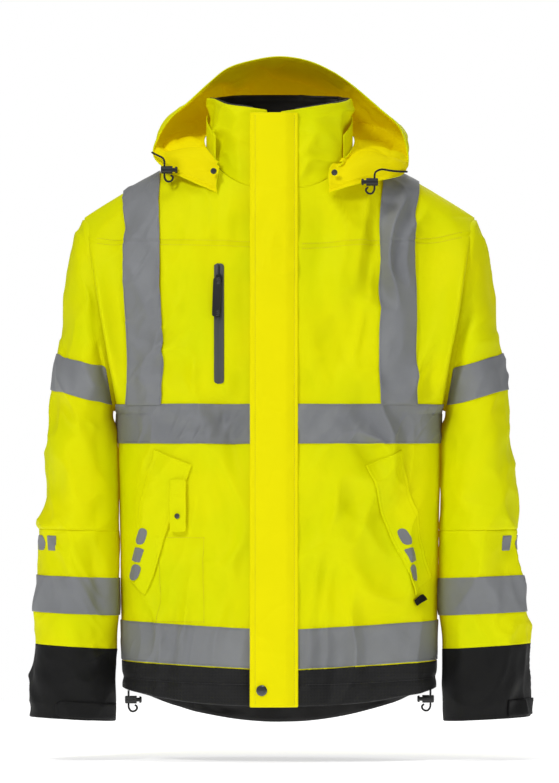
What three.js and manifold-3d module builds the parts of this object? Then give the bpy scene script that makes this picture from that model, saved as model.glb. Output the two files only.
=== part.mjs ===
// Foul weather jacket: a hooded, lined work jacket with reflective bands, zips, flaps and cord locks.
// Units are millimetres, +Z up, the front faces -Y and +X is the wearer's left.
// Heights are measured from the lowest point of the drop tail. The finished group is shifted at the end so
// that its origin is the middle of the hanger loop inside the back neck.
import * as THREE from "three";
import { mergeVertices } from "three/addons/utils/BufferGeometryUtils.js";
import Module from "manifold-3d";

const wasm = await Module();
wasm.setup();

// ---- Driving dimensions -------------------------------------------------------------------------------

// Cloth and clearances
const SHELL = 2.4;            // padded outer shell
const TAPE = 1.0;             // reflective band
const STACK_GAP = 0.9;        // between a layer and the layer sewn on it
const SEAM_GAP = 0.8;         // between two panels that meet edge to edge
const FIT_GAP = 0.3;          // between hard parts that touch

// Body
const HEM_HALF_WIDTH = 199;
const WAIST_HALF_WIDTH = 204;
const CHEST_HALF_WIDTH = 207;
const WAIST_Z = 250;
const UNDERARM_Z = 400;
const SHOULDER_TIP_X = 250;
const SHOULDER_TIP_Z = 650;
const SHOULDER_TIP_Y = 4;
const SHOULDER_SEAM = 1.5;    // from the ridge line to either panel
const SHOULDER_BOW = 7;       // how far the shoulder seam rises above a straight line
const ARMHOLE_HALF_DEPTH = 76;
const ARMHOLE_REACH = 14;     // power that keeps the armhole's shape close to its edge
const FRONT_DEPTH = 150;      // centre front at the hem
const FRONT_LEAN = 0.06;      // how far the front leans back for each millimetre of height
const BACK_DEPTH = 132;
const SECTION_POWER = 2.6;    // how square the body is in plan
const SHOULDER_ROUND = 120;   // height over which the body rounds over to the shoulder seam

// Neck
const NECK_HALF_WIDTH = 88;
const NECK_FRONT_Z = 685;
const NECK_SIDE_Z = 735;
const NECK_BACK_Z = 750;
const NECK_BACK_Y = 70;
const COLLAR_SEAM = 4;        // between the neckline and the collar
const COLLAR_GAP = 2;         // between the collar and its lining
const COLLAR_LINING = 1.6;
const LINING_SETBACK = 18;    // how far the lining stops short of the zip
const COLLAR_HALF_WIDTH = 92;
const COLLAR_FRONT_Z = 783;
const COLLAR_BACK_Z = 808;
const COLLAR_BACK_Y = 62;

// Hem
const HEM_FRONT_Z = 28;
const HEM_SIDE_Z = 48;
const TRIM_TOP_Z = 71;
const TRIM_RISE = 11;         // how much higher the black trim ends at the side
const BAND = 50;              // width of every reflective band
const HEM_BAND_Z = 73;

// Bands
const CHEST_BAND_Z = 361;
const BRACE_INNER_X = { left: 146, right: 131 }; // the braces are not quite symmetric

// Front closure
const ZIP_X = -7;
const ZIP_BOTTOM_Z = 46;
const ZIP_TOP_Z = 776;
const CHAIN_WIDTH = 6;
const ZIP_TAPE_WIDTH = 26;
const ZIP_TAPE_LIFT = -5;     // from the front plane to the back of the zip tape
const CHAIN_THICKNESS = 2.4;
const SLIDER_THICKNESS = 3;
const PULL_THICKNESS = 2.6;
const ZIP_OPENING = 18;       // gap between the two fronts over the chain
const FRONT_HEM = 16;         // how far the bands stop short of the front edge
const FLAP_LEFT_X = -37;
const FLAP_RIGHT_X = 23;
const FLAP_BOTTOM_Z = 26.6;
const FLAP_TOP_Z = 782;
const FLAP_STAND_OFF = 7;     // from the front plane to the back of the flap
const FLAP_THICKNESS = 2.6;
const SNAP_RADIUS = 7;
const SNAP_X = -22.7;
const SNAP_Z = 46.5;

// Chest zip
const CHEST_ZIP_X = -77;
const CHEST_ZIP_BOTTOM_Z = 437;
const CHEST_ZIP_TOP_Z = 590;
const CHEST_ZIP_WIDTH = 12;
const CHEST_PULL_LENGTH = 48;
const CHEST_PULL_THICKNESS = 1.5;
const CHEST_ZIP_STEP = 20;    // from the upper end of the welded tape down to the slider

// Hand pockets: corners on the front, given as x (outwards) and z
const POCKET_TOP_INNER = [112, 333];
const POCKET_TOP_OUTER = [158, 352];
const POCKET_BOTTOM_INNER = [172, 168];
const POCKET_BOTTOM_OUTER = [192, 190];
const POCKET_FLAP = 2.4;
const SNAP_TAB_X = -127.5;
const SNAP_TAB_WIDTH = 19;
const SNAP_TAB_TOP_Z = 315;
const SNAP_TAB_LENGTH = 67;
const SNAP_TAB_LIFT = 5.6;    // from the front to the back of the tab
const SNAP_TAB_STUD_RADIUS = 3.5;
const SNAP_TAB_STUD_Z = 20;   // height of the snap above the tab's lower end
const POCKET_BAG = [[118, 320], [160, 338], [74, 150], [180, 146]];
const POCKET_BAG_GAP = 2.6;
const POCKET_BAG_THICKNESS = 3;

// Sleeve sections from the armhole down to the cuff: the underarm point and the outer point, each as x and z
// on the wearer's left side, half the depth front to back, and how far the middle lies towards the back
const SLEEVE = [
  { inner: [213, 401.5], outer: [253.2, 647], halfDepth: 75, middle: 4 },
  { inner: [213, 400], outer: [263.5, 622], halfDepth: 77, middle: 4 },
  { inner: [212.8, 398.5], outer: [270, 585], halfDepth: 79, middle: 3 },
  { inner: [212.8, 397], outer: [277, 532], halfDepth: 80, middle: 1 },
  { inner: [212.6, 394.5], outer: [284.5, 478], halfDepth: 80, middle: -1 },
  { inner: [212.2, 391], outer: [291, 430], halfDepth: 79, middle: -2 },
  { inner: [211.5, 384], outer: [297, 375], halfDepth: 77, middle: -4 },
  { inner: [211, 300], outer: [305, 298], halfDepth: 74, middle: -9 },
  { inner: [210.5, 249], outer: [309.5, 251], halfDepth: 72, middle: -13 },
  { inner: [210, 188], outer: [314, 192], halfDepth: 70, middle: -18 },
  { inner: [209, 141], outer: [318, 146], halfDepth: 67, middle: -22 },
  { inner: [208.5, 98], outer: [321, 105], halfDepth: 65, middle: -24 },
  { inner: [210, 6], outer: [323, 12], halfDepth: 60, middle: -28 },
];
const UPPER_BAND = [4, 5.05];  // places along the sections
const SLEEVE_BEND = 6;         // where the sleeve swings out from the body, just below the armhole
const ELBOW = 8;
const LOWER_BAND = [9, 10];
const CUFF_START = 11;
const CUFF_END = 12;
const CUFF_TAB_HEIGHT = 21;
const CUFF_TAB_THICKNESS = 1.8;
const CUFF_TAB_LEFT = [165, 72];    // angles round the cuff of the sewn end and the free end, in degrees
const CUFF_TAB_RIGHT = [62, -25];
const SLEEVE_SIDES = 20;
const PLACE_GAP = 0.02;        // seam between two lengths of sleeve

// Hood: points along its free edge from a front tip round to the peak. Each is x, then how far forward it
// lies as a share of the front neckline's own depth, then z.
const HOOD_RIM_LEFT = [
  [-80, 0.955, 681], [-120, 0.808, 699], [-146, 0.569, 712], [-161, 0.386, 731], [-155, 0.294, 752],
  [-140, 0.257, 776],
  [-118, 0.23, 796], [-90, 0.193, 822], [-66, 0.156, 841], [-30, 0.138, 852],
];
const HOOD_RIM_RIGHT = [
  [63, 1.01, 681], [100, 0.973, 692], [140, 0.826, 699], [160, 0.588, 707], [164, 0.386, 726],
  [154, 0.266, 764],
  [128, 0.239, 789], [98, 0.202, 815], [72, 0.174, 834], [38, 0.147, 850], [2, 0.129, 856],
];
const HOOD_HINGE_Y = 84;      // seam at the back of the neck, where the hood folds back
const HOOD_EASE = 8;          // how far the hood's seam lies outside the collar
const HOOD_LIFT = 14;         // and above the neckline
const HOOD_FRONT_ANGLE = 0.85; // where the hood's front ends meet the neck, from the centre front
const HOOD_BULGE = 100;
const HOOD_CROWN = 9;         // how far the hood rises behind its free edge
const HOOD_FULLNESS = 84;
const HOOD_THICKNESS = 1.6;
const HOOD_SNAP_RADIUS = 4;
const HOOD_SNAP_LEFT = [-84, 0.992, 708];
const HOOD_SNAP_RIGHT = [70, 1.028, 706];

// Cord locks
const LOCK_RADIUS = 5;
const LOCK_LENGTH = 15;
const LOCK_BORE = 2;          // radius of the hole that the cord runs through
const CORD_RADIUS = 1.3;
const BUTTON_RADIUS = 4.2;
const BUTTON_HEAD = 3;
const BUTTON_TRAVEL = 3;
const STEM_RADIUS = 2.6;
const STEM_LENGTH = 5;
const STEM_BORE = 3;
const LOCK_CORD_X = -3;       // where the cord runs through the barrel, from its middle

// The cord's end below each lock: down out of the barrel, round a small loop and back under it
const LOOP_ROUTE = [
  [-3, 0, -7], [-2.6, 0, -10.5], [0.4, 0, -14.6],
  [4.6, 0, -14.6], [7.8, 0, -11.4], [7.2, 0, -8.2], [4.8, 0, -6.8],
];
const HEM_ROUTE = [[-3, 0, 12], [-3, 0, 9], [-3, 0, 4], [-3, 0, 0], [-3, 0, -4]];
const CORD_LOCKS = [
  {
    name: "hood_left",
    forward: [-144, 0.771, 710],
    turn: 0,
    route: [
      [-19, 34, 23], [-16, 27, 21], [-10, 14, 18], [-5, 4, 15],
      [-3, 0, 11], [-3, 0, 5], [-3, 0, 0], [-3, 0, -4],
    ],
  },
  {
    name: "hood_right",
    forward: [118, 1.047, 694],
    turn: 180,
    route: [
      [-45, -50, 14], [-34, -36, 14], [-22, -20, 15], [-11, -6, 16],
      [-4, -1, 12], [-3, 0, 5], [-3, 0, 0], [-3, 0, -4],
    ],
  },
  { name: "hem_left", place: [-190, -64, 33], turn: 0, route: HEM_ROUTE },
  { name: "hem_right", place: [190, -64, 34], turn: 180, route: HEM_ROUTE },
];

// Hanger loop
const HANGER_WIDTH = 50;
const HANGER_Z = 752;
const HANGER_Y = 50;
const HANGER_DROP = 14;
const HANGER_RADIUS = 1.6;

// ---- Finishes -----------------------------------------------------------------------------------------

const finish = (color, roughness, metalness = 0) =>
  new THREE.MeshStandardMaterial({ color, roughness, metalness });
const YELLOW = finish(0xe6ee00, 0.75);
const BLACK = finish(0x1c1c1e, 0.85);
const SILVER = finish(0x88898d, 0.4);
const RUBBER = finish(0x26272a, 0.5);
const METAL = finish(0x5a5a5e, 0.35, 0.9);

// ---- Mesh helpers -------------------------------------------------------------------------------------

const jacket = new THREE.Group();
const raised = new THREE.Group();
jacket.add(raised);

function addPiece(name, geometry, material, parent = raised) {
  const mesh = new THREE.Mesh(geometry, material);
  mesh.name = name;
  parent.add(mesh);
  return mesh;
}

// Unit normal of a grid of points at one place, from its neighbours.
function gridNormal(grid, i, j, wraps) {
  const rows = grid.length;
  const cols = grid[0].length;
  const before = wraps ? grid[(i + rows - 1) % rows][j] : grid[Math.max(i - 1, 0)][j];
  const after = wraps ? grid[(i + 1) % rows][j] : grid[Math.min(i + 1, rows - 1)][j];
  const below = grid[i][Math.max(j - 1, 0)];
  const above = grid[i][Math.min(j + 1, cols - 1)];
  const along = new THREE.Vector3().subVectors(after, before);
  const up = new THREE.Vector3().subVectors(above, below);
  return along.cross(up).normalize();
}

// A sheet of cloth with thickness, closed at its edges. The grid is its outer face, whose normal is
// (along the rows) x (along the columns); "wraps" joins the last row to the first, as in a tube.
function sheetSolid(grid, thickness, wraps = false) {
  const rows = grid.length;
  const cols = grid[0].length;
  const points = [];
  for (const depth of [0, thickness]) {
    for (let i = 0; i < rows; i += 1) {
      for (let j = 0; j < cols; j += 1) {
        const p = grid[i][j].clone().addScaledVector(gridNormal(grid, i, j, wraps), -depth);
        points.push(p.x, p.y, p.z);
      }
    }
  }
  const index = [];
  const at = (layer, i, j) => (layer * rows + (i % rows)) * cols + j;
  const quad = (a, b, c, d) => index.push(a, b, c, a, c, d);
  const steps = wraps ? rows : rows - 1;
  for (let i = 0; i < steps; i += 1) {
    for (let j = 0; j < cols - 1; j += 1) {
      quad(at(0, i, j), at(0, i + 1, j), at(0, i + 1, j + 1), at(0, i, j + 1));
      quad(at(1, i, j), at(1, i, j + 1), at(1, i + 1, j + 1), at(1, i + 1, j));
    }
    quad(at(0, i, 0), at(1, i, 0), at(1, i + 1, 0), at(0, i + 1, 0));
    quad(at(0, i, cols - 1), at(0, i + 1, cols - 1), at(1, i + 1, cols - 1), at(1, i, cols - 1));
  }
  if (!wraps) {
    for (let j = 0; j < cols - 1; j += 1) {
      quad(at(0, 0, j), at(0, 0, j + 1), at(1, 0, j + 1), at(1, 0, j));
      quad(at(0, rows - 1, j), at(1, rows - 1, j), at(1, rows - 1, j + 1), at(0, rows - 1, j + 1));
    }
  }
  const geometry = new THREE.BufferGeometry();
  geometry.setAttribute("position", new THREE.Float32BufferAttribute(points, 3));
  geometry.setIndex(index);
  return geometry;
}

// Fills a grid by calling point(s, t) with both running from 0 to 1.
function fillGrid(rows, cols, point) {
  const grid = [];
  for (let i = 0; i < rows; i += 1) {
    const row = [];
    for (let j = 0; j < cols; j += 1) row.push(point(i / (rows - 1), j / (cols - 1)));
    grid.push(row);
  }
  return grid;
}

function toSolid(geometry) {
  const plain = geometry.clone();
  plain.deleteAttribute("normal");
  plain.deleteAttribute("uv");
  const merged = mergeVertices(plain, 1e-4);
  return new wasm.Manifold(new wasm.Mesh({
    numProp: 3,
    vertProperties: new Float32Array(merged.attributes.position.array),
    triVerts: new Uint32Array(merged.index.array),
  }));
}

function fromSolid(solid) {
  const mesh = solid.getMesh();
  const geometry = new THREE.BufferGeometry();
  geometry.setAttribute("position", new THREE.BufferAttribute(mesh.vertProperties, 3));
  geometry.setIndex(new THREE.BufferAttribute(mesh.triVerts, 1));
  return geometry;
}

const mix = (a, b, t) => a + (b - a) * t;
const clamp = (value, low, high) => Math.min(Math.max(value, low), high);

// ---- The body's surface -------------------------------------------------------------------------------

// Half width of the body at a height: the side seam up to the underarm, then the armhole line.
function outerX(z) {
  if (z <= WAIST_Z) return mix(HEM_HALF_WIDTH, WAIST_HALF_WIDTH, clamp(z / WAIST_Z, 0, 1));
  if (z <= UNDERARM_Z) return mix(WAIST_HALF_WIDTH, CHEST_HALF_WIDTH, (z - WAIST_Z) / (UNDERARM_Z - WAIST_Z));
  const rise = (z - UNDERARM_Z) / (SHOULDER_TIP_Z - UNDERARM_Z);
  return mix(CHEST_HALF_WIDTH, SHOULDER_TIP_X, clamp(rise, 0, 1));
}

// Half depth of the armhole at a height, nothing below the underarm.
function armholeDepth(z) {
  const middle = (UNDERARM_Z + SHOULDER_TIP_Z) / 2;
  const away = (z - middle) / (SHOULDER_TIP_Z - middle);
  return Math.abs(away) < 1 ? ARMHOLE_HALF_DEPTH * Math.sqrt(1 - away * away) : 0;
}

const frontY = (z) => -(FRONT_DEPTH - FRONT_LEAN * z);

// The neck ring, by angle from the centre front (0) round to the centre back (pi).
function neckPoint(angle, side) {
  const flat = ringPoint(angle, NECK_HALF_WIDTH, frontY(NECK_FRONT_Z), NECK_BACK_Y);
  const bow = NECK_SIDE_Z - (NECK_FRONT_Z + NECK_BACK_Z) / 2;
  const z = mix(NECK_FRONT_Z, NECK_BACK_Z, (1 - Math.cos(angle)) / 2) + bow * Math.sin(angle) ** 2;
  return new THREE.Vector3(side * flat.x, flat.y, z);
}

// A squarish ring in plan, by angle from the front.
function ringPoint(angle, halfWidth, front, back) {
  const square = (value) => Math.sign(value) * Math.abs(value) ** (2 / SECTION_POWER);
  const middle = (front + back) / 2;
  return { x: halfWidth * square(Math.sin(angle)), y: middle - (back - middle) * square(Math.cos(angle)) };
}

// Upper edge of a front or back panel at a share u of its half width: the neckline, then the shoulder seam.
function panelTop(u, back) {
  const neckShare = NECK_HALF_WIDTH / SHOULDER_TIP_X;
  const seam = back ? SHOULDER_SEAM : -SHOULDER_SEAM;
  if (u < neckShare) {
    const turn = Math.asin((u / neckShare) ** (SECTION_POWER / 2));
    const p = neckPoint(back ? Math.PI - turn : turn, 1);
    return { y: p.y + seam, z: p.z };
  }
  const neck = neckPoint(Math.PI / 2, 1);
  const t = (u - neckShare) / (1 - neckShare);
  const z = mix(neck.z, SHOULDER_TIP_Z, t) + SHOULDER_BOW * Math.sin(Math.PI * t);
  return { y: mix(neck.y, SHOULDER_TIP_Y, t) + seam, z };
}

// A point of the body's outer face at a share u of the half width and a height z.
function bodyPoint(side, back, u, z) {
  const top = panelTop(u, back);
  const edge = (armholeDepth(z) + SEAM_GAP / 2) * (back ? 1 : -1);
  const centre = back ? BACK_DEPTH : frontY(z);
  const bulge = Math.max(1 - u ** SECTION_POWER, 0) ** (1 / SECTION_POWER);
  const level = clamp((top.z - z) / SHOULDER_ROUND, 0, 1);
  const full = centre * bulge + edge * u ** ARMHOLE_REACH;
  return new THREE.Vector3(side * u * outerX(z), mix(top.y, full, Math.sqrt(level * (2 - level))), z);
}

function bodyNormal(side, back, u, z) {
  const step = 0.004;
  const low = Math.max(u - step, 0);
  const high = Math.min(u + step, 1);
  const across = bodyPoint(side, back, high, z).sub(bodyPoint(side, back, low, z));
  const up = bodyPoint(side, back, u, z + 1).sub(bodyPoint(side, back, u, z - 1));
  const normal = across.cross(up).normalize();
  return normal.multiplyScalar(side * (back ? -1 : 1));
}

const hemZ = (u, back) => (back ? HEM_SIDE_Z * u * u : mix(HEM_FRONT_Z, HEM_SIDE_Z, u ** 2.5));
const trimTop = (u) => TRIM_TOP_Z + TRIM_RISE * u;

// A layer on the body. uAt(s, z) and zAt(s, t) place it, and lift is its height above the outer face.
// The grid runs towards +X on the front and towards -X on the back, so that its normal points out.
function bodyLayer({ side, back, rows, cols, uAt, zAt, lift, thickness }) {
  const flip = side * (back ? -1 : 1) < 0;
  const grid = fillGrid(rows, cols, (s, t) => {
    const share = flip ? 1 - s : s;
    const { u, z } = settle((height) => uAt(share, height), (across) => zAt(across, t));
    const p = bodyPoint(side, back, u, z);
    return lift ? p.addScaledVector(bodyNormal(side, back, u, z), lift) : p;
  });
  return sheetSolid(grid, thickness);
}

// The share u and the height z depend on each other a little, so they are worked out in turn.
function settle(uAt, zAt) {
  let u = uAt(UNDERARM_Z);
  let z = zAt(u);
  for (let pass = 0; pass < 3; pass += 1) {
    u = uAt(z);
    z = zAt(u);
  }
  return { u, z };
}

// Crowds rows together towards the upper end, where the shoulder turns fastest.
const crowd = (t) => 1 - (1 - t) ** 1.6;
const PANEL_ROWS = 16;

// ---- Body panels --------------------------------------------------------------------------------------

const SIDES = [{ side: -1, word: "left" }, { side: 1, word: "right" }];
const edgeX = (side) => (side < 0 ? -(ZIP_X - ZIP_OPENING / 2) : ZIP_X + ZIP_OPENING / 2);

// Spreads columns evenly round the body from the front edge (or centre back) to the side seam.
function spread(from, s, z) {
  const start = Math.asin((from / outerX(z)) ** (SECTION_POWER / 2));
  return Math.sin(mix(start, Math.PI / 2, s)) ** (2 / SECTION_POWER);
}

function shellPanel(side, back) {
  const from = back ? 0 : edgeX(side);
  return bodyLayer({
    side,
    back,
    rows: 12,
    cols: PANEL_ROWS,
    uAt: (s, z) => spread(from, s, z),
    zAt: (u, t) => mix(trimTop(u) + SEAM_GAP, panelTop(u, back).z, crowd(t)),
    lift: 0,
    thickness: SHELL,
  });
}

// The back is one piece from side to side: its grid runs from +X over the centre to -X.
function backGrid(rows, cols, lowZ, highZ, lift, ease = (t) => t) {
  return fillGrid(rows, cols, (s, t) => {
    const signed = mix(1, -1, s);
    const side = signed < 0 ? -1 : 1;
    const across = (z) => spread(0, Math.abs(signed), z);
    const { u, z } = settle(across, (share) => mix(lowZ(share), highZ(share), ease(t)));
    const p = bodyPoint(side, true, u, z);
    return lift ? p.addScaledVector(bodyNormal(side, true, u, z), lift) : p;
  });
}

function addBodyPanels() {
  for (const { side, word } of SIDES) addPiece(`front_${word}_shell`, shellPanel(side, false), YELLOW);
  const low = (u) => trimTop(u) + SEAM_GAP;
  const high = (u) => panelTop(u, true).z;
  addPiece("back_shell", sheetSolid(backGrid(21, PANEL_ROWS, low, high, 0, crowd), SHELL), YELLOW);
}

function addHemTrim() {
  for (const { side, word } of SIDES) {
    const trim = bodyLayer({
      side,
      back: false,
      rows: 10,
      cols: 3,
      uAt: (s, z) => spread(edgeX(side), s, z),
      zAt: (u, t) => mix(hemZ(u, false), trimTop(u) - SEAM_GAP, t),
      lift: 0.5,
      thickness: SHELL,
    });
    addPiece(`hem_trim_${word}`, trim, BLACK);
  }
  const tail = backGrid(19, 3, (u) => hemZ(u, true), (u) => trimTop(u) - SEAM_GAP, 0.5);
  addPiece("drop_tail", sheetSolid(tail, SHELL), BLACK);
}

// ---- Reflective bands ---------------------------------------------------------------------------------

function addRing(name, lowZ, rows) {
  for (const { side, word } of SIDES) {
    const band = bodyLayer({
      side,
      back: false,
      rows,
      cols: 2,
      uAt: (s, z) => spread(edgeX(side) + FRONT_HEM, s, z),
      zAt: (u, t) => lowZ(u) + BAND * t,
      lift: STACK_GAP + TAPE,
      thickness: TAPE,
    });
    addPiece(`${name}_${word}`, band, SILVER);
  }
  const grid = backGrid(2 * rows - 1, 2, lowZ, (u) => lowZ(u) + BAND, STACK_GAP + TAPE);
  addPiece(`${name}_back`, sheetSolid(grid, TAPE), SILVER);
}

// The braces run up the fronts from the chest band and end just short of the shoulder seam.
function braceBand(side, word) {
  const inner = BRACE_INNER_X[word];
  const shortOfSeam = 1.2;
  return bodyLayer({
    side,
    back: false,
    rows: 3,
    cols: 14,
    uAt: (s, z) => (inner + BAND * s) / outerX(z),
    zAt: (u, t) => mix(CHEST_BAND_Z + BAND + SEAM_GAP, panelTop(u, false).z - shortOfSeam, crowd(t)),
    lift: 2 * STACK_GAP + TAPE,
    thickness: TAPE,
  });
}

function addBands() {
  addRing("chest_band", () => CHEST_BAND_Z, 22);
  addRing("hem_band", (u) => HEM_BAND_Z + TRIM_RISE * u, 22);
  for (const { side, word } of SIDES) addPiece(`brace_band_${word}`, braceBand(side, word), SILVER);
}

// ---- Sleeves ------------------------------------------------------------------------------------------

// A point of a sleeve: place runs along the sections, and the angle goes from the outer side (0) over the
// front (a quarter turn) to the side next to the body (a half turn).
function sleevePoint(side, place, angle, lift) {
  const k = clamp(Math.floor(place), 0, SLEEVE.length - 2);
  const a = SLEEVE[k];
  const b = SLEEVE[k + 1];
  const between = (key, i) => mix(a[key][i], b[key][i], place - k);
  const reachX = (between("outer", 0) - between("inner", 0)) / 2;
  const reachZ = (between("outer", 1) - between("inner", 1)) / 2;
  const grow = (1 + lift / Math.hypot(reachX, reachZ)) * Math.cos(angle);
  const depth = mix(a.halfDepth, b.halfDepth, place - k) + lift;
  return new THREE.Vector3(
    side * (between("inner", 0) + reachX + reachX * grow),
    mix(a.middle, b.middle, place - k) - depth * Math.sin(angle),
    between("inner", 1) + reachZ + reachZ * grow,
  );
}

function sleeveTube(side, places, lift, thickness) {
  const grid = [];
  for (let i = 0; i < SLEEVE_SIDES; i += 1) {
    const angle = (side * 2 * Math.PI * i) / SLEEVE_SIDES;
    grid.push(places.map((place) => sleevePoint(side, place, angle, lift)));
  }
  return sheetSolid(grid, thickness, true);
}

// Places from one end of a stretch to the other, with the sections that lie between.
function placesBetween(from, to) {
  const inside = SLEEVE.map((_, k) => k).filter((k) => k > from + PLACE_GAP && k < to - PLACE_GAP);
  return [from, ...inside, to];
}

function addSleeves() {
  const overTube = STACK_GAP + TAPE;
  for (const { side, word } of SIDES) {
    const add = (name, from, to, lift, thickness, material) => {
      addPiece(`${name}_${word}`, sleeveTube(side, placesBetween(from, to), lift, thickness), material);
    };
    add("sleeve_head", 0, SLEEVE_BEND - PLACE_GAP, 0, SHELL, YELLOW);
    add("upper_sleeve", SLEEVE_BEND + PLACE_GAP, ELBOW - PLACE_GAP, 0, SHELL, YELLOW);
    add("lower_sleeve", ELBOW + PLACE_GAP, CUFF_START - PLACE_GAP, 0, SHELL, YELLOW);
    add("cuff", CUFF_START + PLACE_GAP, CUFF_END, 0, SHELL, BLACK);
    add("upper_sleeve_band", UPPER_BAND[0], UPPER_BAND[1], overTube, TAPE, SILVER);
    add("lower_sleeve_band", LOWER_BAND[0], LOWER_BAND[1], overTube, TAPE, SILVER);
    addPiece(`cuff_tab_${word}`, cuffTab(side), BLACK);
  }
}

// The strap that tightens the cuff: sewn at one end, with its free end lying on the cuff.
function cuffTab(side) {
  const [sewn, free] = side < 0 ? CUFF_TAB_LEFT : CUFF_TAB_RIGHT;
  const rise = CUFF_TAB_HEIGHT / (SLEEVE[CUFF_START].outer[1] - SLEEVE[CUFF_END].outer[1]);
  const ends = side < 0 ? [sewn, free] : [free, sewn];
  const grid = fillGrid(9, 3, (s, t) => {
    const angle = THREE.MathUtils.degToRad(mix(ends[0], ends[1], s));
    return sleevePoint(side, CUFF_END - rise * (1 - t), angle, STACK_GAP + CUFF_TAB_THICKNESS);
  });
  return sheetSolid(grid, CUFF_TAB_THICKNESS);
}

// ---- Collar and hood ----------------------------------------------------------------------------------

// The collar's outer face: from the neck seam (0) to its top edge (1), moved in by inset.
function collarPoint(angle, t, inset) {
  const low = neckPoint(angle, 1);
  const z = mix(COLLAR_FRONT_Z, COLLAR_BACK_Z, (1 - Math.cos(angle)) / 2);
  const high = ringPoint(angle, COLLAR_HALF_WIDTH, frontY(COLLAR_FRONT_Z), COLLAR_BACK_Y);
  const p = new THREE.Vector3(mix(low.x, high.x, t), mix(low.y, high.y, t), mix(low.z + COLLAR_SEAM, z, t));
  const centre = (frontY(COLLAR_FRONT_Z) + COLLAR_BACK_Y) / 2;
  const inward = new THREE.Vector3(-p.x, centre - p.y, 0).normalize();
  return p.addScaledVector(inward, inset);
}

function addCollar() {
  const start = (x) => Math.asin((Math.abs(x) / NECK_HALF_WIDTH) ** (SECTION_POWER / 2));
  const ring = (from, to, inset, raise) => fillGrid(25, 4, (s, t) => {
    const p = collarPoint(mix(start(from), 2 * Math.PI - start(to), s), t, inset);
    p.z += raise * t;
    return p;
  });
  const left = ZIP_X - ZIP_OPENING / 2;
  const right = ZIP_X + ZIP_OPENING / 2;
  addPiece("collar", sheetSolid(ring(right, left, 0, 0), SHELL), YELLOW);
  const inner = ring(right + LINING_SETBACK, left - LINING_SETBACK, SHELL + COLLAR_GAP, 0);
  addPiece("collar_lining", sheetSolid(inner, COLLAR_LINING), BLACK);
}

// A place on the hood, from its x, its forward share of the front neckline's depth, and its z.
function onHood([x, forward, z]) {
  return [x, forward * frontY(NECK_FRONT_Z), z];
}

// The hood hangs open behind the collar. Its surface runs from the free edge back over a bulge and down to
// the seam round the neck.
function hoodPoint(rim, s, t) {
  const edge = rim.getPoint(s);
  const angle = mix(HOOD_FRONT_ANGLE, 2 * Math.PI - HOOD_FRONT_ANGLE, s);
  const seam = ringPoint(angle, NECK_HALF_WIDTH + HOOD_EASE, frontY(NECK_FRONT_Z) - HOOD_EASE, HOOD_HINGE_Y);
  const base = new THREE.Vector3(seam.x, seam.y, neckPoint(angle, 1).z + HOOD_LIFT);
  const full = Math.sin(Math.PI * s) ** 0.8;
  const first = edge.clone().add(new THREE.Vector3(0.04 * edge.x, HOOD_BULGE * full, HOOD_CROWN * full));
  first.z = Math.max(first.z, base.z + HOOD_CROWN);
  const second = base.clone().add(new THREE.Vector3(0.4 * seam.x * full, HOOD_FULLNESS * full, -4 * full));
  return new THREE.CubicBezierCurve3(edge, first, second, base).getPoint(t);
}

function addHood() {
  const points = [...HOOD_RIM_RIGHT, ...HOOD_RIM_LEFT.slice().reverse()].map(onHood);
  const rim = new THREE.CatmullRomCurve3(points.map((p) => new THREE.Vector3(...p)), false, "centripetal");
  const grid = fillGrid(31, 8, (s, t) => hoodPoint(rim, s, 1 - t));
  addPiece("hood", sheetSolid(grid, HOOD_THICKNESS), YELLOW);
  for (const [word, place] of [["left", HOOD_SNAP_LEFT], ["right", HOOD_SNAP_RIGHT]]) {
    const snap = addPiece(`hood_snap_${word}`, dome(HOOD_SNAP_RADIUS, 2.4), METAL);
    snap.rotation.x = Math.PI;
    snap.position.set(...onHood(place));
  }
}

// ---- Hard parts ---------------------------------------------------------------------------------------

// A plate in the XZ plane with round corners, its back at y = 0 and its front at y = -thickness.
function plate(left, right, bottom, top, thickness, radius) {
  const shape = new THREE.Shape();
  shape.moveTo(left + radius, bottom);
  shape.lineTo(right - radius, bottom);
  shape.absarc(right - radius, bottom + radius, radius, -Math.PI / 2, 0, false);
  shape.absarc(right - radius, top - radius, radius, 0, Math.PI / 2, false);
  shape.absarc(left + radius, top - radius, radius, Math.PI / 2, Math.PI, false);
  shape.absarc(left + radius, bottom + radius, radius, Math.PI, 1.5 * Math.PI, false);
  const extrusion = { depth: thickness, bevelEnabled: false, curveSegments: 2 };
  const geometry = new THREE.ExtrudeGeometry(shape, extrusion);
  return geometry.rotateX(Math.PI / 2);
}

const joined = (a, b) => fromSolid(toSolid(a).add(toSolid(b)));

// A domed snap head that stands on y = 0 and rises along +Y.
function dome(radius, height) {
  const profile = [[0, 0], [radius, 0], [radius, 0.35 * height], [0.75 * radius, 0.85 * height], [0, height]];
  return new THREE.LatheGeometry(profile.map(([x, y]) => new THREE.Vector2(x, y)), 14);
}

// The flat front runs straight up and leans back a little: +Z follows it and -Y points away from the body.
function frontPlane() {
  const group = new THREE.Group();
  group.position.set(0, -FRONT_DEPTH, 0);
  group.rotation.x = -Math.atan(FRONT_LEAN);
  raised.add(group);
  return group;
}

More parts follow.
